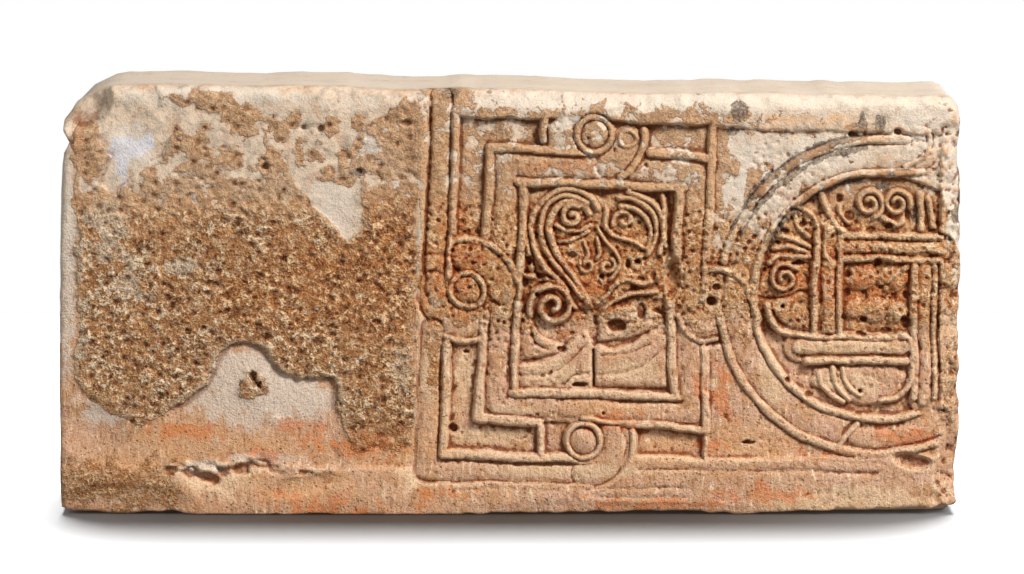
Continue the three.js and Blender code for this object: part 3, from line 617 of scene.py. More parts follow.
def carve_panel(face):
    face.level(PANEL_HEART, 6.2, 4)
    for path, width in zip(LEFT_SCROLLS, (RIDGE + 1, RIDGE - 0.5, RIDGE)):
        face.ridge(curve(path), width, 1.5)
    for path in RIGHT_SCROLLS:
        face.ridge(curve(path), RIDGE - 0.5, 1.5)
    face.ridge(spiral(LEFT_EYE, 12, 2, 60, 470), RIDGE, 1.5)
    face.ridge(spiral(RIGHT_EYE, 11, 3, 200, -160), RIDGE - 1, 2.0)
    for path in PANEL_TWIGS:
        face.ridge(curve(path), RIDGE - 1, 2.0, 1.5)
    face.ridge(spiral((77, 252), 8, 3, 150, 520), RIDGE - 1.5, 2.0)
    face.ridge(spiral((97, 250), 8, 3, 60, -310), RIDGE - 1.5, 2.0)
    face.ridge(spiral((43, 209), 24, 4, 200, -420, 60), RIDGE - 1, 1.5)
    for outline, top in PANEL_LEAVES:
        face.leaf(curve(outline, 4), top)
    face.groove([(83.5, 131), (83.5, 165)], NARROW_GROOVE, 7)
    for path, width, deep in LEAF_GROOVES:
        face.groove(curve(path), width, deep)
    for x, z, half_x, half_z in PANEL_HOLLOWS:
        face.hole((x, z), half_x, half_z, 12.5)


# Drilled or broken holes, as (x, z, half width, half height, depth)
DRILLED = [(202, 215, 6, 6, 15), (386, 385, 5, 4, 8), (342, 383, 4.5, 4, 7), (-57, 87, 6, 5, 15),
           (-44, 164, 4, 3, 13), (240, 73, 8, 2.2, 10), (273, 210, 3, 2.5, 10), (279, 136, 4, 3.5, 10),
           (351, 125, 2.6, 2.6, 11), (293, 141, 8, 3, 10), (300, 122, 6, 4, 10), (350, 101, 5, 2.5, 9),
           (104, 368, 2.5, 2.5, 6), (136, 352, 3, 3, 6), (93, 102, 2.5, 2.5, 6), (206, 230, 6, 5, 9)]


def carve(face):
    carve_grounds(face)
    carve_outer_ribbons(face)
    carve_inner_ribbon(face)
    carve_circle(face)
    carve_circle_ribbons(face)
    carve_circle_leaves(face)
    carve_panel(face)
    carve_knots(face)


# Breaks and the crust

# The crust's lower edge on the field
CRUST_FOOT = [(-438, 132), (-425, 119), (-410, 105), (-395, 97), (-370, 92), (-345, 104), (-318, 117),
              (-308, 126), (-303, 140), (-298, 153), (-290, 164), (-279, 171), (-268, 174), (-256, 172),
              (-246, 164), (-238, 153), (-228, 145), (-214, 139), (-196, 139), (-184, 141), (-176, 134),
              (-172, 118), (-168, 92), (-160, 66), (-98, 66)]

# The rest of its outline, its blotches as (x, z, half width, half height, amount), and what lies bare in it
CRUST_FIELD = CRUST_FOOT + [
    (-94, 180), (-94, 300), (-90, 422), (-220, 424), (-300, 424), (-332, 390), (-345, 356), (-372, 346),
    (-388, 326), (-410, 338), (-424, 372), (-436, 366), (-436, 320), (-431, 280), (-436, 230), (-431, 190),
    (-436, 160)]
CRUST_LUMP = (-258, 133, 15, 13)
CRUST_AT_FOOT = (-410, 26, 60, 24)
CRUST_BLOTCHES = [(-296, 417, 30, 8, 0.7), (-262, 400, 12, 22, 0.6), (-214, 398, 9, 9, 0.6),
                  (-178, 390, 10, 12, 0.6), (-150, 397, 7, 8, 0.6), (-104, 384, 22, 34, 0.7),
                  (-236, 352, 18, 12, 0.5), (-190, 362, 9, 7, 0.5), (-120, 352, 18, 18, 0.6),
                  (-420, 360, 12, 26, 0.8), (-300, 362, 12, 16, 0.4), (-428, 26, 40, 26, 0.5)]
BARE_RECESS = [(-207, 336), (-176, 339), (-150, 330), (-146, 306), (-150, 284), (-163, 275), (-172, 286),
               (-186, 300), (-202, 314), (-209, 326)]
BARE_CORNER = [(-443, 405), (-395, 432), (-352, 432), (-346, 408), (-331, 388), (-345, 362), (-372, 348),
               (-392, 318), (-412, 330), (-418, 362), (-440, 372)]
BLUE_PATCH = [(-398, 378), (-385, 383), (-372, 380), (-358, 387), (-354, 370), (-374, 361), (-380, 348),
              (-383, 328), (-392, 330), (-396, 345), (-402, 362)]

# Shell-shaped breaks, as (centre, half width, half height, depth, turn)
SHELLS = [
    ((-448, 432), 60, 40, 32, 0.5), ((-250, 84), 90, 46, 4, 0.12), ((-420, 84), 46, 36, 8, 0.3),
    ((-390, 6), 80, 26, 6, 0.0), ((110, 0), 190, 14, 3, 0.0), ((60, 430), 260, 20, 3, 0.0),
    ((300, 430), 160, 22, 3, 0.0), ((457, 160), 26, 110, 9, 0.0), ((459, 330), 26, 90, 9, 0.0),
    ((-338, 404), 16, 24, 5, 0.4), ((445, 60), 18, 40, 10, 0.0), ((404, 54), 22, 9, 9, 0.2),
    ((437, 40), 12, 20, 9, 0.0), ((-176, 62), 10, 22, 6, -0.3), ((-205, 30), 40, 12, 4, -0.2),
]

# The crumbled ledge at the lower left, and hollows with torn edges, as (x, z, half width, half height, depth)
LEDGE = [(-352, 40), (-330, 47), (-302, 50), (-285, 46), (-262, 52), (-248, 46), (-215, 45), (-196, 37),
         (-172, 30)]
TORN_EDGE = 0.42
TORN_HOLLOWS = [(-340, 45, 10, 5, 5), (-322, 42, 12, 7, 7), (-304, 37, 13, 7, 8), (-289, 43, 9, 6, 7),
                (-272, 46, 10, 6, 8), (-251, 50, 13, 5, 6), (-230, 46, 13, 4, 5), (-208, 42, 10, 3, 4),
                (-258, 138, 4, 6, 11), (-252, 131, 3, 5, 9), (-418, 402, 3, 2, 6), (-244, 350, 4, 4, 7),
                (-205, 390, 4, 4, 7), (-190, 388, 3, 4, 6), (-105, 395, 6, 3, 5), (-150, 345, 5, 4, 6)]


def break_away(face):
    for centre, half_x, half_z, deep, turn in SHELLS:
        face.shell(centre, half_x, half_z, deep, turn)
    for x, z, half_x, half_z, deep in TORN_HOLLOWS:
        face.hole((x, z), half_x, half_z, deep, TORN_EDGE)
    points = face.points()
    w, gap = face.near(curve(LEDGE), 9)
    crumbs = np.clip(0.25 + rough(points[w], 9, 3, 95), 0, 1.2)
    face.depth[w] -= 5.5 * crumbs * smooth(1 - gap / 10)
    face.depth = np.maximum(face.depth, 0.2)
    crumbling = smooth((face.x - 416) / 20) * smooth((398 - face.z) / 16)
    face.depth += crumbling * 6.5 * np.clip(0.3 + rough(points, 15, 4, 91), 0, 1.4)


# How surely the crust lies on the field at a height, as (z, amount)
CRUST_THINNER = [(60, -0.2), (96, 0.5), (130, 1.0), (280, 1.0), (305, 0.4), (335, 0.02), (400, -0.14),
                 (418, -0.32), (432, -0.8)]

# The crust's pits as (spacing, seed, reach, softness, depth, share of places without one)
CRUST_PITS = ((11.0, 44, 0.42, 0.25, 2.2, 0.5), (6.4, 47, 0.45, 0.3, 1.4, 0.35))

# The carving's pits as (spacing, seed, depth)
CARVING_PITS = ((8.5, 55, 2.2), (5.0, 65, 1.4))


def with_blotches(amount, x, z, blotches):
    for cx, cz, half_x, half_z, strength in blotches:
        gap = np.sqrt(((x - cx) / half_x) ** 2 + ((z - cz) / half_z) ** 2)
        amount = np.maximum(amount, strength * (1.6 - gap) - 0.3)
    return amount


# How surely the crust lies at each place of the field, from -1 to 1, before its ragged edge
def crust_on_field(x, z):
    places = np.stack([x, x * 0, z], -1)
    x = wavered(x, places, ((4, 26), (1.5, 9)), 34)
    z = wavered(z, places, ((3, 26), (1.5, 9)), 36)
    field = inside_distance(x, z, CRUST_FIELD) / 7
    amount = np.minimum(np.clip(field, -1, 1), along(CRUST_THINNER, z))
    for (cx, cz, half_x, half_z), strength in ((CRUST_LUMP, 1.2), (CRUST_AT_FOOT, 0.6)):
        amount = np.maximum(amount, strength * (1 - np.hypot((x - cx) / half_x, (z - cz) / half_z)))
    for outline, strength in ((BARE_RECESS, 1.0), (BARE_CORNER, 0.9)):
        amount = np.minimum(amount, -np.clip(inside_distance(x, z, outline) / 5, -1, strength))
    return with_blotches(amount, x, z, CRUST_BLOTCHES)


# Lays the crust on the field, proud of the bare stone, and gives how surely it lies at each place
def lay_crust(face):
    points = face.points()
    amount = crust_on_field(face.x, face.z)
    in_field = smooth((FIELD_EDGE - face.x) / 6)
    ragged = 0.5 * noise(points, 15, 31) + 0.35 * noise(points, 7, 32) + 0.2 * noise(points, 4, 33)
    cover = amount + ragged * 0.8
    bare = 3.6 + 0.8 * noise(points, 60, 41) + 0.5 * noise(points, 18, 42) - 1.5 * smooth((face.z - 285) / 40)
    lumps = 1.5 + 0.7 * rough(points, 24, 3, 43)
    for spacing, seed, reach, soft, deep, bare_share in CRUST_PITS:
        gap, label = scattered(face.x, face.z, spacing, seed)
        lumps += deep * smooth((reach - gap) / soft) * (label > bare_share)
    below = np.maximum(-inside_distance(face.x, face.z, CRUST_FIELD), 0)
    flaked = smooth((face.x + 352) / 30) * smooth((-166 - face.x) / 16) * smooth((195 - face.z) / 10)
    bare += 4.5 * flaked * np.exp(-below / 15)
    corner = smooth(inside_distance(face.x, face.z, BARE_CORNER) / 2.5 + 0.5)
    bare += corner * (2.4 + 0.8 * rough(points, 20, 3, 48))
    laid = bare + (np.maximum(lumps, 0.3) - bare) * smooth(cover / 0.16 + 0.5)
    above_ledge = smooth((face.z - 44) / 8)
    face.depth = np.maximum(face.depth, laid * in_field * above_ledge)
    return cover


def blurred(values, reach):
    kernel = np.exp(-0.5 * (np.arange(-3 * reach, 3 * reach + 1) / reach) ** 2)
    kernel /= kernel.sum()
    for axis in (0, 1):
        pad = [(0, 0), (0, 0)]
        pad[axis] = (3 * reach, 3 * reach)
        wide = np.pad(values, pad, mode="edge")
        out = np.zeros(values.shape)
        for k, weight in enumerate(kernel):
            part = [slice(None), slice(None)]
            part[axis] = slice(k, k + values.shape[axis])
            out += weight * wide[tuple(part)]
        values = out
    return values


# Weather softens the carving, more in some places than in others, and pits it
def weather(face):
    points = face.points()
    softness = 0.12 + 0.25 * noise(points, 45, 51)
    face.depth += (blurred(face.depth, 1) - face.depth) * np.clip(softness, 0, 1)
    carved = smooth((face.x - FIELD_EDGE) / 10)
    face.depth += carved * (0.55 * noise(points, 15, 52) + 0.3 * noise(points, 6, 53))
    face.depth += (0.9 * noise(points, 12, 59) + 1.9 * noise(points, 27, 60)) * smooth((face.z - 325) / 40)
    middle = smooth((face.z - 165) / 40) * smooth((330 - face.z) / 40)
    eaten = np.clip(0.35 + 0.55 * middle + 0.5 * noise(points, 38, 58), 0, 1)
    for spacing, seed, deep in CARVING_PITS:
        gap, label = scattered(face.x + noise(points, 6, 54), face.z, spacing, seed)
        face.depth += carved * deep * eaten * smooth((0.4 - gap) / 0.25) * (label > 0.5)


# The rounded edges of the front
def round_edges(face):
    points = face.points()
    ragged = 1 + 0.4 * noise(points, 24, 61) + 0.35 * noise(points, 9, 62)
    total = np.zeros(face.x.shape)
    edges = ((face.from_left, LEFT_ROUNDING), (face.from_right, RIGHT_ROUNDING),
             (face.from_top, TOP_ROUNDING), (face.from_bottom, along(BOTTOM_ROUNDING, face.x)))
    for gap, radius in edges:
        reach = radius * ragged
        t = np.clip(1 - gap / reach, 0, 1)
        total += (reach * (1 - np.sqrt(1 - t * t))) ** 2
    face.depth = np.maximum(face.depth, 0.15) + np.sqrt(total)


# The block behind the face

class Skin:
    """Vertices and faces of the closed mesh, joined as they are added."""

    def __init__(self):
        self.points = []
        self.faces = []
        self.count = 0

    def add(self, points):
        points = np.asarray(points).reshape(-1, 3)
        numbers = np.arange(self.count, self.count + len(points))
        self.points.append(points)
        self.count += len(points)
        return numbers

    def quads(self, a, b, c, d):
        self.faces += np.stack([np.ravel(a), np.ravel(b), np.ravel(c), np.ravel(d)], 1).tolist()


# The numbers of a grid's border, once round from its lower left corner
def border(numbers):
    return np.concatenate([numbers[0, :-1], numbers[:-1, -1], numbers[-1, :0:-1], numbers[:0:-1, 0]])


# The grid lines that the coarse back keeps, out of that many along a length
def coarse_lines(count, length):
    return np.unique(np.round(np.linspace(0, count - 1, round(length / BACK_STEP))).astype(int))


# Joins a fine border to a coarse one whose corners are some of its points
def join_borders(skin, fine, coarse, matches):
    total = len(fine)
    for k in range(len(coarse)):
        first = matches[k]
        last = matches[(k + 1) % len(coarse)]
        if last <= first:
            last += total
        a, b = coarse[k], coarse[(k + 1) % len(coarse)]
        half = (first + last) // 2
        for i in range(first, last):
            skin.faces.append([int(fine[(i + 1) % total]), int(fine[i % total]), int(a if i < half else b)])
        skin.faces.append([int(fine[half % total]), int(a), int(b)])


# How far the broken ends and the dressed top lie inside the outline
def side_relief(points, outward):
    ends = np.abs(outward[:, 0])
    coarse_break = 0.4 + 3.0 * rough(points, 55, 3, 71) + 1.2 * noise(points, 9, 74)
    dressed = 0.3 + 0.8 * rough(points, 34, 3, 75) + 0.4 * noise(points, 7, 78)
    return np.maximum(dressed + (coarse_break - dressed) * ends, 0)


# The direction out of the outline at each of the rim's points
def rim_outward(rim):
    ahead = np.roll(rim, -1, 0)[:, [0, 2]] - np.roll(rim, 1, 0)[:, [0, 2]]
    outward = np.stack([ahead[:, 1], np.zeros(len(rim)), -ahead[:, 0]], 1)
    return outward / np.linalg.norm(outward, axis=1, keepdims=True)


# The rim moved back by a share of the block's depth, with broken ends and a flat lower bed
def ring_behind(rim, outward, share):
    settling = smooth(share * 6)
    ring = rim.copy()
    ring[:, 1] = rim[:, 1] + (BACK - 1.0 - rim[:, 1]) * share
    inward = side_relief(ring, outward) * settling
    t = np.clip(1 - (BACK - ring[:, 1]) / BACK_ROUND, 0, 1)
    rounded = BACK_ROUND * 0.6 * (1 - np.sqrt(1 - 0.98 * t * t))
    ring -= outward * (inward + rounded)[:, None]
    bed = rim[:, 2] * (1 - settling) + rounded
    ring[:, 2] = np.where(outward[:, 2] < -0.9, bed, np.maximum(ring[:, 2], 0.0))
    ring[:, 1] = np.minimum(ring[:, 1], BACK - CLEARANCE)
    return ring


# The back, as a coarse grid inside the last ring
def add_back(skin, grid, ring):
    inner = grid[1:-1, 1:-1].copy()
    inner[..., 1] = BACK - 0.4 - 1.4 * np.clip(0.5 + 0.5 * rough(inner, 40, 3, 81), 0, 2)
    rows, columns = grid.shape[:2]
    back = np.zeros((rows, columns), int)
    back[1:-1, 1:-1] = skin.add(inner).reshape(inner.shape[:2])
    bottom, right, top, left = np.split(ring, np.cumsum([columns - 1, rows - 1, columns - 1]))
    back[0, :-1] = bottom
    back[:-1, -1] = right
    back[-1, :0:-1] = top
    back[:0:-1, 0] = left
    skin.quads(back[:-1, :-1], back[1:, :-1], back[1:, 1:], back[:-1, 1:])


def build_block(face):
    skin = Skin()
    places = face.points()
    places[..., 1] = FACE + face.depth
    front = skin.add(places).reshape(face.x.shape)
    skin.quads(front[:-1, :-1], front[:-1, 1:], front[1:, 1:], front[1:, :-1])

    keep = np.ix_(coarse_lines(front.shape[0], TOP), coarse_lines(front.shape[1], (HIGH.x - LOW.x) / MM))
    fine = border(front)
    coarse = border(front[keep])
    order = {int(number): i for i, number in enumerate(fine)}
    matches = [order[int(number)] for number in coarse]

    rim = places.reshape(-1, 3)[coarse]
    outward = rim_outward(rim)
    shares = np.linspace(0, 1, round((BACK - FACE) / BACK_STEP) + 1)[1:-1]
    rings = [skin.add(ring_behind(rim, outward, share))
             for share in (*shares, 1 - BACK_ROUND / 2 / (BACK - FACE), 1)]
    join_borders(skin, fine, rings[0], matches)
    for ring, behind in zip(rings[:-1], rings[1:]):
        skin.quads(ring, behind, np.roll(behind, -1), np.roll(ring, -1))
    add_back(skin, places[keep], rings[-1])
    return skin


def make_object(name, skin):
    mesh = bpy.data.meshes.new(name)
    mesh.from_pydata((np.concatenate(skin.points) * MM).tolist(), [], skin.faces)
    mesh.validate()
    mesh.polygons.foreach_set("use_smooth", np.ones(len(mesh.polygons), bool))
    mesh.update()
    return placed(name, mesh)


def placed(name, data):
    obj = bpy.data.objects.new(name, data)
    bpy.context.scene.collection.objects.link(obj)
    return obj


# Where each colour lies, as one number a vertex

def zone(values, low, high):
    return smooth((values - low) / (high - low))


# Stains by colour, as (x, z, half width, half height)
STAINS = {
    "soot": [(-60, 424, 8, 5), (228, 406, 7, 10), (352, 398, 4, 14), (370, 396, 6, 14), (342, 388, 5, 6),
             (452, 375, 4, 24), (453, 335, 5, 34), (446, 300, 5, 10), (-150, 345, 8, 4),
             (405, 303, 5, 12), (388, 344, 20, 4), (372, 330, 8, 4), (222, 386, 6, 5)],
    "rust": [(330, 235, 90, 40), (400, 235, 36, 26), (190, 130, 12, 28), (390, 78, 50, 14),
             (90, 96, 24, 6), (205, 70, 24, 12), (214, 130, 14, 30), (-150, 70, 50, 18),
             (270, 255, 30, 26), (150, 10, 90, 10), (330, 62, 50, 8), (-60, 250, 40, 60),
             (60, 235, 60, 50), (-250, 60, 26, 12), (-325, 84, 54, 12), (-215, 88, 40, 12),
             (-100, 20, 60, 14), (60, 350, 60, 8), (-432, 380, 8, 20), (-170, 14, 110, 16),
             (110, 92, 40, 14), (260, 20, 60, 14)],
    "chalk": [(150, 414, 330, 12), (-300, 420, 90, 10), (235, 345, 46, 46), (312, 365, 36, 18),
              (178, 374, 26, 16), (410, 395, 34, 30), (181, 290, 10, 42), (-444, 260, 10, 130),
              (-250, 128, 78, 44), (-290, 150, 22, 24), (-175, 305, 26, 34), (-308, 47, 24, 8),
              (-250, 57, 30, 6), (-150, 20, 30, 6), (-130, 372, 26, 24), (325, 305, 9, 16),
              (444, 270, 14, 150), (290, 360, 22, 20), (-110, 330, 10, 40), (-29, 330, 6, 50),
              (60, 392, 24, 14), (340, 14, 110, 14), (-80, 147, 10, 44), (-46, 140, 12, 26),
              (-20, 78, 40, 9), (45, 142, 36, 14), (120, 144, 36, 14), (335, 132, 34, 16),
              (340, 168, 70, 8), (262, 140, 14, 40), (60, 44, 90, 7), (-20, 106, 60, 6), (20, 350, 60, 8),
              (-10, 245, 6, 20), (24, 300, 6, 24), (182, 345, 18, 16), (-405, 104, 30, 14),
              (-380, 370, 26, 26), (340, 330, 10, 16), (205, 250, 8, 20)],
    "ochre": [(-120, 70, 70, 30), (-330, 76, 70, 26), (-290, 92, 50, 22), (-200, 22, 200, 24),
              (30, 300, 30, 40), (150, 60, 50, 30), (240, 70, 60, 24), (-70, 110, 30, 50),
              (100, 105, 60, 12), (300, 400, 60, 10), (120, 425, 60, 8), (-250, 72, 60, 24),
              (-120, 240, 50, 120), (-180, 230, 90, 60), (-380, 45, 70, 34), (90, 250, 130, 60),
              (340, 230, 110, 70), (-50, 250, 50, 80), (-240, 216, 80, 36), (-160, 20, 120, 20)],
    "pale": [(-402, 285, 24, 50), (-436, 210, 14, 80), (-330, 335, 60, 16), (-250, 330, 60, 12),
             (-130, 345, 30, 20), (-330, 250, 30, 10), (-380, 230, 16, 20), (-110, 150, 12, 30)],
}

# Patches of crust on the carving, as (x, z, half width, half height, amount)
CRUST_SPOTS = [(-72, 300, 14, 130, 0.8), (-36, 330, 12, 70, 0.25), (-5, 300, 10, 60, 0.6),
               (115, 360, 40, 18, 0.5), (202, 380, 9, 26, 0.9), (206, 330, 9, 60, 0.5),
               (225, 345, 5, 14, 0.5), (243, 340, 7, 9, 0.5), (236, 318, 6, 10, 0.4),
               (262, 352, 5, 5, 0.4), (150, 403, 40, 5, 0.5), (-60, 420, 14, 8, 0.6),
               (20, 350, 60, 12, 0.15), (175, 260, 14, 30, 0.5), (440, 130, 10, 60, 0.3),
               (360, 300, 50, 20, 0.35), (60, 320, 90, 14, 0.5), (225, 400, 30, 4, 0.4),
               (228, 288, 26, 26, 0.45), (240, 385, 6, 5, 0.5), (214, 372, 5, 12, 0.5),
               (330, 372, 8, 6, 0.3), (60, 404, 60, 6, 0.4), (118, 384, 30, 12, 0.6),
               (30, 384, 28, 12, 0.35), (172, 384, 26, 10, 0.35)]

# The masks' values on the top, the ends, the back and the underside
OFF_FACE = {"crust": -0.42, "warm": -0.6, "chalk": -0.3, "ochre": 0.0, "soot": -0.6, "rust": -0.5,
            "pale": -0.3, "blue": -3, "hollow": 0, "cut": 0, "carved": 0, "hidden": 1}


def spots(x, z, places):
    total = np.full(len(x), -1.0)
    for cx, cz, half_x, half_z in places:
        gap = np.sqrt(((x - cx) / half_x) ** 2 + ((z - cz) / half_z) ** 2)
        total = np.maximum(total, 1 - gap)
    return total


# Soot along the fillets at the great circle's upper left
def soot_lines(x, z):
    turn = np.degrees(np.arctan2(z - CIRCLE[1], x - CIRCLE[0]))
    from_middle = np.hypot(x - CIRCLE[0], z - CIRCLE[1])
    stretch = np.minimum(zone(turn, 88, 98), zone(-turn, -166, -150))
    outer = 1 - np.abs(from_middle - CIRCLE_OUTER - 2) / 5
    second = 1 - np.abs(from_middle - CIRCLE_OUTER + 9) / 3.5
    inner = (1 - np.abs(from_middle - CIRCLE_INNER + 4) / 5) * zone(turn, 60, 70)
    line = np.maximum(np.maximum(outer, second), inner)
    return (0.6 * line + 0.4) * stretch - 0.45 - 0.6 * (1 - stretch)


# Amounts by height, as (z, amount): the pinker tone of the bare stone, and the crust on the carving, which is
# everywhere in the middle, in patches above and hardly below, and lies otherwise in the great circle
WARM_BY_HEIGHT = [(0, 0.7), (120, 0.7), (210, 0.3), (290, -0.2), (340, -0.6)]
CRUST_IN_CIRCLE = [(100, -0.8), (170, -0.5), (195, 0.3), (220, 0.9), (300, 0.7), (340, 0.0)]
CRUST_BY_HEIGHT = [(0, -0.8), (120, -0.75), (165, -0.6), (200, 0.15), (235, 0.9), (300, 0.8), (335, 0.15),
                   (385, 0.08), (408, -0.02), (422, -0.5), (433, -0.8)]


def crust_on_carving(x, z):
    amount = along(CRUST_BY_HEIGHT, z)
    spandrel = zone(x, 196, 212) * zone(z, 245, 300)
    amount += (-0.65 - amount) * spandrel * (1 - zone(x, 395, 425) * 0.4)
    inside = zone(CIRCLE_INNER - np.hypot(x - CIRCLE[0], z - CIRCLE[1]), -6, 6)
    amount = np.maximum(amount, inside * along(CRUST_IN_CIRCLE, z) - (1 - inside))
    amount -= 0.8 * zone(x, 429, 440)
    return np.clip(with_blotches(amount, x, z, CRUST_SPOTS), -1, 1)


def colour_masks(points, hollow, cut, field):
    x, y, z = points[:, 0], points[:, 1], points[:, 2]
    off_face = smooth((y - FACE - 14) / 30)
    carved = zone(x, -96, -84)
    crust = field * (1 - carved) + crust_on_carving(x, z) * carved
    masks = {name: spots(x, z, places) for name, places in STAINS.items()}
    masks["soot"] = np.maximum(masks["soot"], soot_lines(x, z))
    masks.update({
        "crust": crust,
        "warm": along(WARM_BY_HEIGHT, z),
        "blue": np.clip(inside_distance(x, z, BLUE_PATCH) / 6, -3, 1),
        # The hollows, which the material darkens as painted shade and dirt, and a band along the bottom edge
        # at the left, darker towards the bottom
        "hollow": np.maximum(hollow, 0.7 * zone(-z, -34, -6) * zone(-x, 60, 120)),
        "cut": cut,
        "carved": carved,
        "upper": zone(z, 285, 335),
        "hidden": np.zeros(len(x)),
    })
    above = off_face * zone(z - along(TOP_EDGE, x), -14, -5)
    for name, amount in OFF_FACE.items():
        masks[name] += (amount - masks[name]) * off_face
    masks["chalk"] += (0.35 - masks["chalk"]) * above
    masks["above"] = above
    return masks


def add_masks(obj, masks):
    for name, values in masks.items():
        layer = obj.data.attributes.new(name, "FLOAT", "POINT")
        layer.data.foreach_set("value", values.astype(np.float32))


# The stone's material

def colour(red, green, blue):
    return (*(((c / 255 + 0.055) / 1.055) ** 2.4 for c in (red, green, blue)), 1.0)


class Graph:
    """Adds nodes to a material or a world and returns their outputs."""

    def __init__(self, owner):
        owner.use_nodes = True
        self.nodes = owner.node_tree.nodes
        self.links = owner.node_tree.links

    def plug(self, socket, value):
        if isinstance(value, bpy.types.NodeSocket):
            self.links.new(value, socket)
        else:
            socket.default_value = value

    def node(self, kind, inputs, **settings):
        node = self.nodes.new("ShaderNode" + kind)
        for name, value in settings.items():
            setattr(node, name, value)
        for name, value in inputs.items():
            self.plug(node.inputs[name], value)
        return node.outputs

    def mask(self, name):
        return self.node("Attribute", {}, attribute_name=name)["Fac"]

    def maths(self, operation, *values):
        return self.node("Math", dict(enumerate(values)), operation=operation)[0]

    def vectors(self, operation, *values):
        return self.node("VectorMath", dict(enumerate(values)), operation=operation)[0]

    def add(self, a, b):
        return self.maths("ADD", a, b)

    def times(self, a, b):
        return self.maths("MULTIPLY", a, b)

    def minus(self, a, b):
        return self.maths("SUBTRACT", a, b)

    def rest(self, value):
        return self.minus(1.0, value)

    def scaled(self, value, factor, plus):
        return self.maths("MULTIPLY_ADD", value, factor, plus)

    def texture(self, kind, size, place, **inputs):
        return self.node("Tex" + kind, {"Vector": place, "Scale": 1 / (size * MM), **inputs})

    # 0 below low, 1 above high
    def step(self, value, low, high):
        inputs = {"Value": value, "From Min": low, "From Max": high}
        return self.node("MapRange", inputs, interpolation_type="SMOOTHSTEP")["Result"]

    def blend(self, share, a, b, kind="MIX"):
        inputs = {"Factor": share, "A": a, "B": b}
        return self.node("Mix", inputs, data_type="RGBA", blend_type=kind)["Result"]

    # A tone laid over another, by a share of the surface and a strength
    def cover(self, under, tone, share, strength, kind="MIX"):
        return self.blend(self.times(share, strength), under, tone, kind)

    def ramp(self, value, stops):
        node = self.nodes.new("ShaderNodeValToRGB")
        elements = node.color_ramp.elements
        while len(elements) < len(stops):
            elements.new(0.5)
        for element, (position, tone) in zip(elements, stops):
            element.position = position
            element.color = tone
        self.plug(node.inputs["Fac"], value)
        return node.outputs["Color"]


CREAM = colour(214, 190, 164)
PALE_GREY = colour(178, 161, 142)
WHITE = colour(213, 198, 180)
LIME = colour(226, 196, 156)
BEIGE = colour(200, 157, 123)
PINK = colour(207, 164, 136)
OCHRE = colour(214, 158, 102)
TAN = colour(190, 139, 94)
BROWN = colour(152, 100, 60)
DARK = colour(84, 52, 31)
CRUMB = colour(240, 214, 178)
CLAY = colour(196, 156, 116)
BARK = colour(150, 112, 78)
RUST = colour(206, 120, 66)
SOOT = colour(86, 70, 60)
BLUE_GREY = colour(204, 206, 214)
ASH = colour(204, 186, 158)
ASH_DARK = colour(158, 134, 106)
# A darker tone: painted shade in the hollows and at the crust's edge, and darker patches of the crust's own
# tone
SHADE_AND_DARK_TONE = colour(178, 140, 108)
GOLD = colour(255, 224, 186)
# A darker tone for the cuts beside the ridges: dirt and painted shade
GRIME_AND_SHADE = colour(164, 120, 90)
GRAIN_BROWN = colour(174, 148, 128)
PURE_WHITE = colour(255, 255, 255)


# Sizes of the noises' lumps and of the cells, in millimetres
BROAD_SIZE = 48
OTHER_SIZE = 24
PATCHY_SIZE = 15
CLUMP_SIZE = 8.0
STREAK_SIZE = 3.5
FINE_SIZE = 3.2
GRAIN_SIZE = 1.5
CRUMB_CELL = 4.4
SPECK_CELL = 5.0
STREAK_SQUEEZE = 0.22


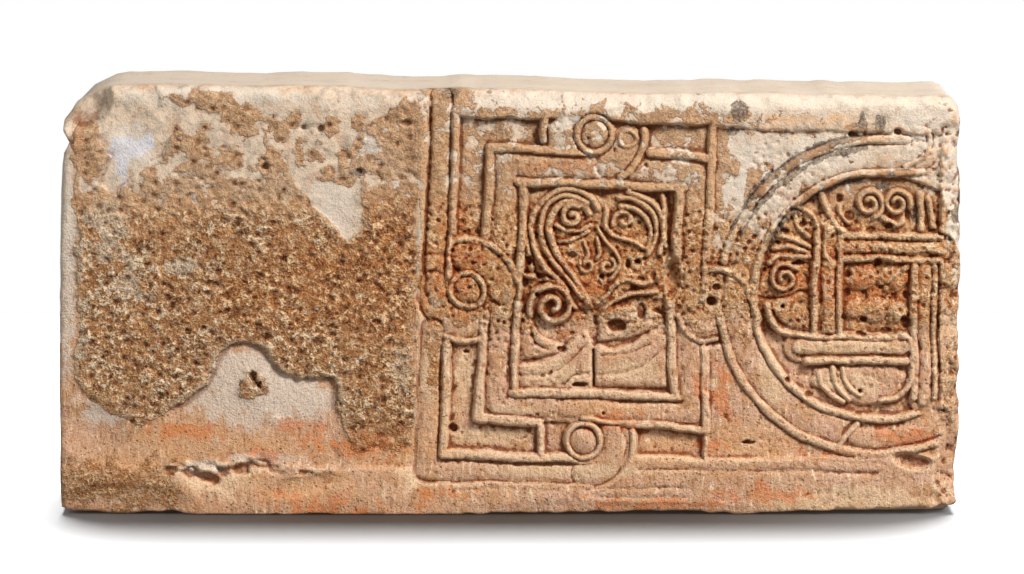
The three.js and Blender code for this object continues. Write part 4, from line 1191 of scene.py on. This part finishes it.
class Stone(Graph):
    """The graph with the noises that the stone's layers share, and where each layer lies."""

    def __init__(self, material):
        super().__init__(material)
        self.place = self.node("TexCoord", {})["Object"]
        upright = self.vectors("MULTIPLY", self.place, (1.0, 1.0, STREAK_SQUEEZE))
        self.broad = self.noise(BROAD_SIZE, 0.55)
        self.other = self.noise(OTHER_SIZE, 0.62, warp=0.5)
        self.patchy = self.noise(PATCHY_SIZE, 0.58, warp=0.3)
        self.clump = self.noise(CLUMP_SIZE, 0.6)
        self.streaks = self.noise(STREAK_SIZE, 0.6, upright)
        self.fine = self.noise(FINE_SIZE, 0.68)
        self.grain = self.noise(GRAIN_SIZE, 0.6, detail=2.0)
        self.ragged = self.minus(self.add(self.times(self.patchy, 1.45), self.times(self.fine, 0.4)), 0.925)
        self.carved = self.mask("carved")
        self.upper = self.mask("upper")
        self.warm = self.covers("warm", 1.2, -0.25, 0.25)
        self.chalk = self.covers("chalk", 1.3, -0.2, 0.3)
        self.golden = self.covers("ochre", 2.4, -0.1, 0.6)
        self.soot = self.covers("soot", 1.4, -0.03, 0.06)
        self.place_crust()
        self.place_specks()

    def noise(self, size, roughness, place=None, detail=3.0, warp=0.0):
        inputs = {"Detail": detail, "Roughness": roughness, "Distortion": warp}
        return self.texture("Noise", size, place or self.place, **inputs)["Fac"]

    # The place, shifted by noise, so that cells aren't round
    def shifted(self, size, far):
        shift = self.texture("Noise", size, self.place, Detail=1.0)["Color"]
        centred = self.vectors("SUBTRACT", shift, (0.5, 0.5, 0.5))
        return self.vectors("MULTIPLY_ADD", centred, (far * MM,) * 3, self.place)

    # Where a mask's layer lies, with an edge that the noises make ragged
    def covers(self, name, spread, low, high):
        return self.step(self.add(self.mask(name), self.times(self.ragged, spread)), low, high)

    def place_crust(self):
        self.edge = self.add(self.mask("crust"), self.times(self.ragged, self.scaled(self.carved, 1.1, 0.8)))
        self.crust = self.step(self.edge, -0.08, 0.08)
        self.thin = self.rest(self.step(self.edge, 0.1, 0.7))
        self.soft = self.scaled(self.upper, -0.55, 1.0)
        pitted = self.step(self.add(self.other, self.patchy), 0.86, 1.14)
        contrast = self.times(self.scaled(pitted, 0.6, 0.66), self.scaled(self.carved, -0.3, 1.0))
        self.contrast = self.times(contrast, self.soft)
        limed = self.add(self.times(self.ragged, 1.3), self.times(self.broad, 0.6))
        self.limed = self.step(self.add(self.times(self.mask("pale"), 0.42), limed), 0.3, 0.46)
        self.lace = crust_lace(self)

    def place_specks(self):
        gap = self.texture("Voronoi", SPECK_CELL, self.shifted(6.0, 2.0))["Distance"]
        near = self.step(gap, 0.27, 0.14)
        specks = self.times(near, self.step(self.clump, 0.46, 0.55))
        specks = self.times(specks, self.scaled(self.warm, 0.7, 0.3))
        self.specks = self.times(specks, self.scaled(self.chalk, -0.8, 1.0))


# The pitted crust: a pale net round dark pits, from 0 in a pit to 1 on the net
def crust_lace(g):
    bent = g.shifted(5.0, 2.2)
    cells = g.texture("Voronoi", CRUMB_CELL, bent)
    crumb = g.node("SeparateColor", {0: cells["Color"]})[0]
    lace = g.scaled(cells["Distance"], 0.3, 0.11)
    lace = g.add(lace, g.times(g.texture("Voronoi", CRUMB_CELL / 2, bent)["Distance"], 0.26))
    for value, far in ((crumb, 0.34), (g.fine, 1.0), (g.clump, 0.6), (g.other, 0.5)):
        lace = g.add(lace, g.times(g.minus(value, 0.5), far))
    return lace


# Bare marble, whiter above and pinker below, and mottled more broadly behind and at the ends
def bare_marble(g):
    hidden = g.mask("hidden")

    def broader(value, share):
        return g.add(value, g.times(hidden, g.times(g.minus(g.broad, value), share)))

    stone = g.blend(g.step(broader(g.clump, 0.75), 0.4, 0.7), CREAM, PALE_GREY)
    stone = g.cover(stone, BEIGE, g.step(broader(g.other, 0.6), 0.5, 0.66), 0.5)
    pinker = g.blend(g.step(g.patchy, 0.42, 0.58), BEIGE, PINK)
    pinker = g.cover(pinker, TAN, g.step(g.other, 0.48, 0.62), 0.6)
    pinker = g.cover(pinker, CRUMB, g.step(g.streaks, 0.56, 0.7), 0.7)
    pinker = g.cover(pinker, BROWN, g.step(g.streaks, 0.46, 0.32), 0.62)
    return g.blend(g.warm, stone, pinker)


# Chalk, yellower low on the carving, and ochre
def washed(g, stone):
    yellowed = g.times(g.warm, g.carved)
    limewash = g.blend(yellowed, WHITE, LIME)
    stone = g.cover(stone, limewash, g.chalk, g.scaled(yellowed, -0.3, 0.75))
    return g.cover(stone, OCHRE, g.golden, g.scaled(g.chalk, -0.35, 0.45))


# The crust, brown, or filled with pale lime in patches, and plainer where it is thin or high up
def crust_colour(g):
    calmed = g.scaled(g.minus(g.lace, 0.405), g.contrast, 0.43)
    brown = g.ramp(calmed, [(0.12, DARK), (0.22, BROWN), (0.34, TAN), (0.47, OCHRE), (0.66, CRUMB)])
    # Darker patches in the crust's own tone
    brown = g.cover(brown, SHADE_AND_DARK_TONE, g.step(g.clump, 0.52, 0.38), 0.32, "MULTIPLY")
    brown = g.cover(brown, CREAM, g.step(g.add(g.fine, g.clump), 1.04, 1.2), 0.6)
    pale = g.ramp(calmed, [(0.18, ASH_DARK), (0.34, ASH), (0.6, CREAM)])
    tone = g.cover(brown, pale, g.limed, 0.8)
    tone = g.cover(tone, CLAY, g.thin, 0.45)
    tone = g.cover(tone, GOLD, g.golden, 0.6, "MULTIPLY")
    plainer = g.blend(g.step(g.add(g.clump, g.times(g.fine, 0.6)), 0.66, 0.98), BARK, CLAY)
    return g.cover(tone, plainer, g.upper, 0.7)


def crusted(g, stone):
    stone = g.cover(stone, crust_colour(g), g.crust, g.scaled(g.upper, -0.12, 1.0))
    # Painted shade: a thin darker rim multiplied in along the crust's edge, as shade at its step
    rim = g.times(g.step(g.edge, -0.2, -0.04), g.rest(g.step(g.edge, 0.0, 0.2)))
    return g.cover(stone, SHADE_AND_DARK_TONE, rim, 0.14, "MULTIPLY")


# Rust, the blue-white patch and soot
def stained(g, stone):
    stone = g.cover(stone, RUST, g.covers("rust", 1.8, 0.0, 0.8), 0.3)
    blots = g.times(g.covers("rust", 2.6, 0.42, 0.5), g.warm)
    stone = g.cover(stone, RUST, blots, 0.5)
    stone = g.cover(stone, BLUE_GREY, g.covers("blue", 4.0, -0.1, 0.7), 0.65)
    sooty = g.cover(SOOT, ASH, g.step(g.fine, 0.4, 0.6), 0.4)
    return g.cover(stone, sooty, g.soot, 0.85)


# Dirt and painted shade in the hollows and cuts; stains, wear and a painted highlight on the ridges
def worn(g, stone):
    in_carving = g.scaled(g.carved, 0.3, 0.6)
    # Painted shade, partly dirt: the hollows of the carving darkened by multiplying in a shade tone
    stone = g.cover(stone, SHADE_AND_DARK_TONE, g.covers("hollow", 0.5, 0.15, 1.0), g.times(in_carving, 0.3), "MULTIPLY")
    # Painted shade and dirt: the narrow cuts beside the ridges darkened into thin dark lines
    stone = g.cover(stone, GRIME_AND_SHADE, g.covers("cut", 1.6, 0.3, 1.0), in_carving, "MULTIPLY")
    raised = g.step(g.add(g.times(g.mask("cut"), -1.0), g.times(g.ragged, 0.8)), 0.25, 0.9)
    patches = g.step(g.add(g.patchy, g.times(g.clump, 0.3)), 0.56, 0.66)
    stone = g.cover(stone, TAN, raised, g.times(patches, g.times(g.carved, g.scaled(g.upper, 0.3, 0.45))))
    # Painted highlight, partly wear: the raised ridges lightened with a cream tone, less under soot and
    # higher up
    return g.cover(stone, CRUMB, raised, g.times(g.rest(g.soot), g.scaled(g.upper, -0.26, 0.42)))


# Grain, and scattered dark specks
def grained(g, stone):
    speckle = g.ramp(g.grain, [(0.3, GRAIN_BROWN), (0.52, PURE_WHITE)])
    speckled = g.scaled(g.add(g.crust, g.warm), 0.3, 0.35)
    stone = g.cover(stone, speckle, speckled, g.rest(g.mask("above")), "MULTIPLY")
    return g.cover(stone, DARK, g.specks, 0.48)


# The relief that is too fine for the mesh, in millimetres
def fine_relief(g):
    height = g.times(g.step(g.lace, 0.2, 0.62), g.scaled(g.carved, -0.9, 2.3))
    height = g.times(height, g.times(g.contrast, g.scaled(g.limed, -0.5, 1.0)))
    height = g.times(height, g.times(g.soft, g.scaled(g.thin, -0.5, 1.0)))
    height = g.times(g.crust, g.add(height, 0.4))
    height = g.add(height, g.times(g.clump, 1.1))
    height = g.add(height, g.times(g.streaks, g.times(g.warm, 0.9)))
    height = g.add(height, g.times(g.fine, g.scaled(g.add(g.crust, g.warm), 0.6, 0.9)))
    height = g.add(height, g.times(g.grain, 0.55))
    return g.minus(height, g.specks)


def marble_material():
    material = bpy.data.materials.new("weathered_marble")
    g = Stone(material)
    stone = bare_marble(g)
    # worn lays painted shade in the hollows and cuts and a painted highlight on the ridges, besides dirt,
    # stains and wear
    for layer in (washed, crusted, stained, worn, grained):
        stone = layer(g, stone)
    bump = g.node("Bump", {"Strength": 1.0, "Distance": MM, "Height": fine_relief(g)})
    shader = g.nodes["Principled BSDF"]
    g.plug(shader.inputs["Base Color"], stone)
    g.plug(shader.inputs["Roughness"], g.scaled(g.grain, 0.2, 0.7))
    g.plug(shader.inputs["Normal"], bump["Normal"])
    shader.inputs["Specular IOR Level"].default_value = 0.2
    return material


# The stage, the light and the camera

WORLD_BELOW = 0.28
WORLD_ABOVE = 0.37
FLOOR_REACH = (3.5, -4.0, 1.6)
FLOOR_TONE = (0.08, 0.08, 0.08, 1)
FLOOR_DROP = 0.0006
KEY_WATTS = 262
FILL_WATTS = 14
RIGHT_FLOOR_WATTS = 4.5
LEFT_FLOOR_WATTS = 2.0
SUN_STRENGTH = 38.0
CAMERA_FAR = 6.0
CAMERA_UP = 6.5
VIEW_WIDTH = 1.024
VIEW_MIDDLE = Vector((0.002, FACE * MM, 0.230))


def make_floor():
    mesh = bpy.data.meshes.new("studio_floor")
    side, near, far = FLOOR_REACH
    mesh.from_pydata([(-side, near, 0), (side, near, 0), (side, far, 0), (-side, far, 0)], [], [(0, 1, 2, 3)])
    floor = placed("studio_floor", mesh)
    floor.location.z = -FLOOR_DROP
    material = bpy.data.materials.new("pale_floor")
    material.use_nodes = True
    shader = material.node_tree.nodes["Principled BSDF"]
    shader.inputs["Base Color"].default_value = FLOOR_TONE
    shader.inputs["Roughness"].default_value = 0.6
    mesh.materials.append(material)
    floor.visible_diffuse = False
    return floor


# A soft light that falls on one object alone
def add_light(name, place, size, watts, onto, target=(0, 0, 0.2), kind="AREA"):
    data = bpy.data.lights.new(name, kind)
    data.energy = watts
    if kind == "SUN":
        data.angle = math.radians(size)
    else:
        data.size = size
    light = placed(name, data)
    light.location = place
    light.visible_camera = False
    light.rotation_mode = "QUATERNION"
    light.rotation_quaternion = (Vector(target) - Vector(place)).to_track_quat("-Z", "Y")
    lit = bpy.data.collections.new(name + "_falls_on")
    lit.objects.link(onto)
    light.light_linking.receiver_collection = lit


# Light from all round, stronger from above, with a white backdrop
def make_world():
    world = bpy.data.worlds.new("studio")
    g = Graph(world)
    place = g.node("TexCoord", {})["Generated"]
    height = g.node("SeparateXYZ", {"Vector": place})["Z"]
    reach = {"From Min": -0.6, "From Max": 1.0, "To Min": WORLD_BELOW, "To Max": WORLD_ABOVE}
    fall = g.node("MapRange", {"Value": height, **reach})["Result"]
    seen = g.node("LightPath", {})["Is Camera Ray"]
    background = g.nodes["Background"]
    background.inputs["Color"].default_value = (1, 1, 1, 1)
    g.plug(background.inputs["Strength"], g.node("Mix", {"Factor": seen, "A": fall, "B": 1.0})["Result"])
    bpy.context.scene.world = world


def light_stage(stone, floor):
    make_world()
    add_light("key", (2.3, -2.4, 3.0), 1.0, KEY_WATTS, stone)
    add_light("fill", (-2.4, -2.4, 0.9), 1.4, FILL_WATTS, stone)
    add_light("right_on_floor", (0.6, -0.26, 0.13), 0.2, RIGHT_FLOOR_WATTS, floor, (0.4, -0.1, 0))
    add_light("left_on_floor", (-0.62, -0.26, 0.13), 0.2, LEFT_FLOOR_WATTS, floor, (-0.42, -0.1, 0))
    add_light("sun_on_floor", (0.1, 0.9, 2.6), 30, SUN_STRENGTH, floor, kind="SUN")
    bpy.context.scene.view_settings.view_transform = "Standard"


def make_camera():
    data = bpy.data.cameras.new("camera")
    data.lens = data.sensor_width * CAMERA_FAR / VIEW_WIDTH
    camera = placed("camera", data)
    tilt = math.radians(CAMERA_UP)
    away = Vector((0, -math.cos(tilt), math.sin(tilt)))
    camera.location = VIEW_MIDDLE + away * CAMERA_FAR
    camera.rotation_mode = "QUATERNION"
    camera.rotation_quaternion = (-away).to_track_quat("-Z", "Y")
    bpy.context.scene.camera = camera


def make_marble():
    face = Face()
    carve(face)
    cover = lay_crust(face)
    weather(face)
    break_away(face)
    for x, z, half_x, half_z, deep in DRILLED:
        face.hole((x, z), half_x, half_z, deep)
    # Masks of hollows and narrow cuts, which the material darkens as painted shade and dirt, and whose raised
    # parts it lightens as a painted highlight
    hollow = np.clip((face.depth - blurred(face.depth, 5)) / 4.0, -1, 1)
    cut = np.clip((face.depth - blurred(face.depth, 2)) / 1.3, -1, 1)
    round_edges(face)
    skin = build_block(face)
    obj = make_object("carved_marble_block", skin)
    points = np.concatenate(skin.points)
    rest = len(points) - face.x.size
    shapes = {"hollow": hollow, "cut": cut, "field": cover}
    shapes = {name: np.concatenate([values.ravel(), np.zeros(rest)]) for name, values in shapes.items()}
    add_masks(obj, colour_masks(points, **shapes))
    obj.data.materials.append(marble_material())
    triangles = sum(len(f) - 2 for f in skin.faces)
    obj.modifiers.new("thinned", "DECIMATE").ratio = MOST_TRIANGLES / triangles
    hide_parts(NODE)
    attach(obj, "root")
    return obj


light_stage(make_marble(), make_floor())
make_camera()
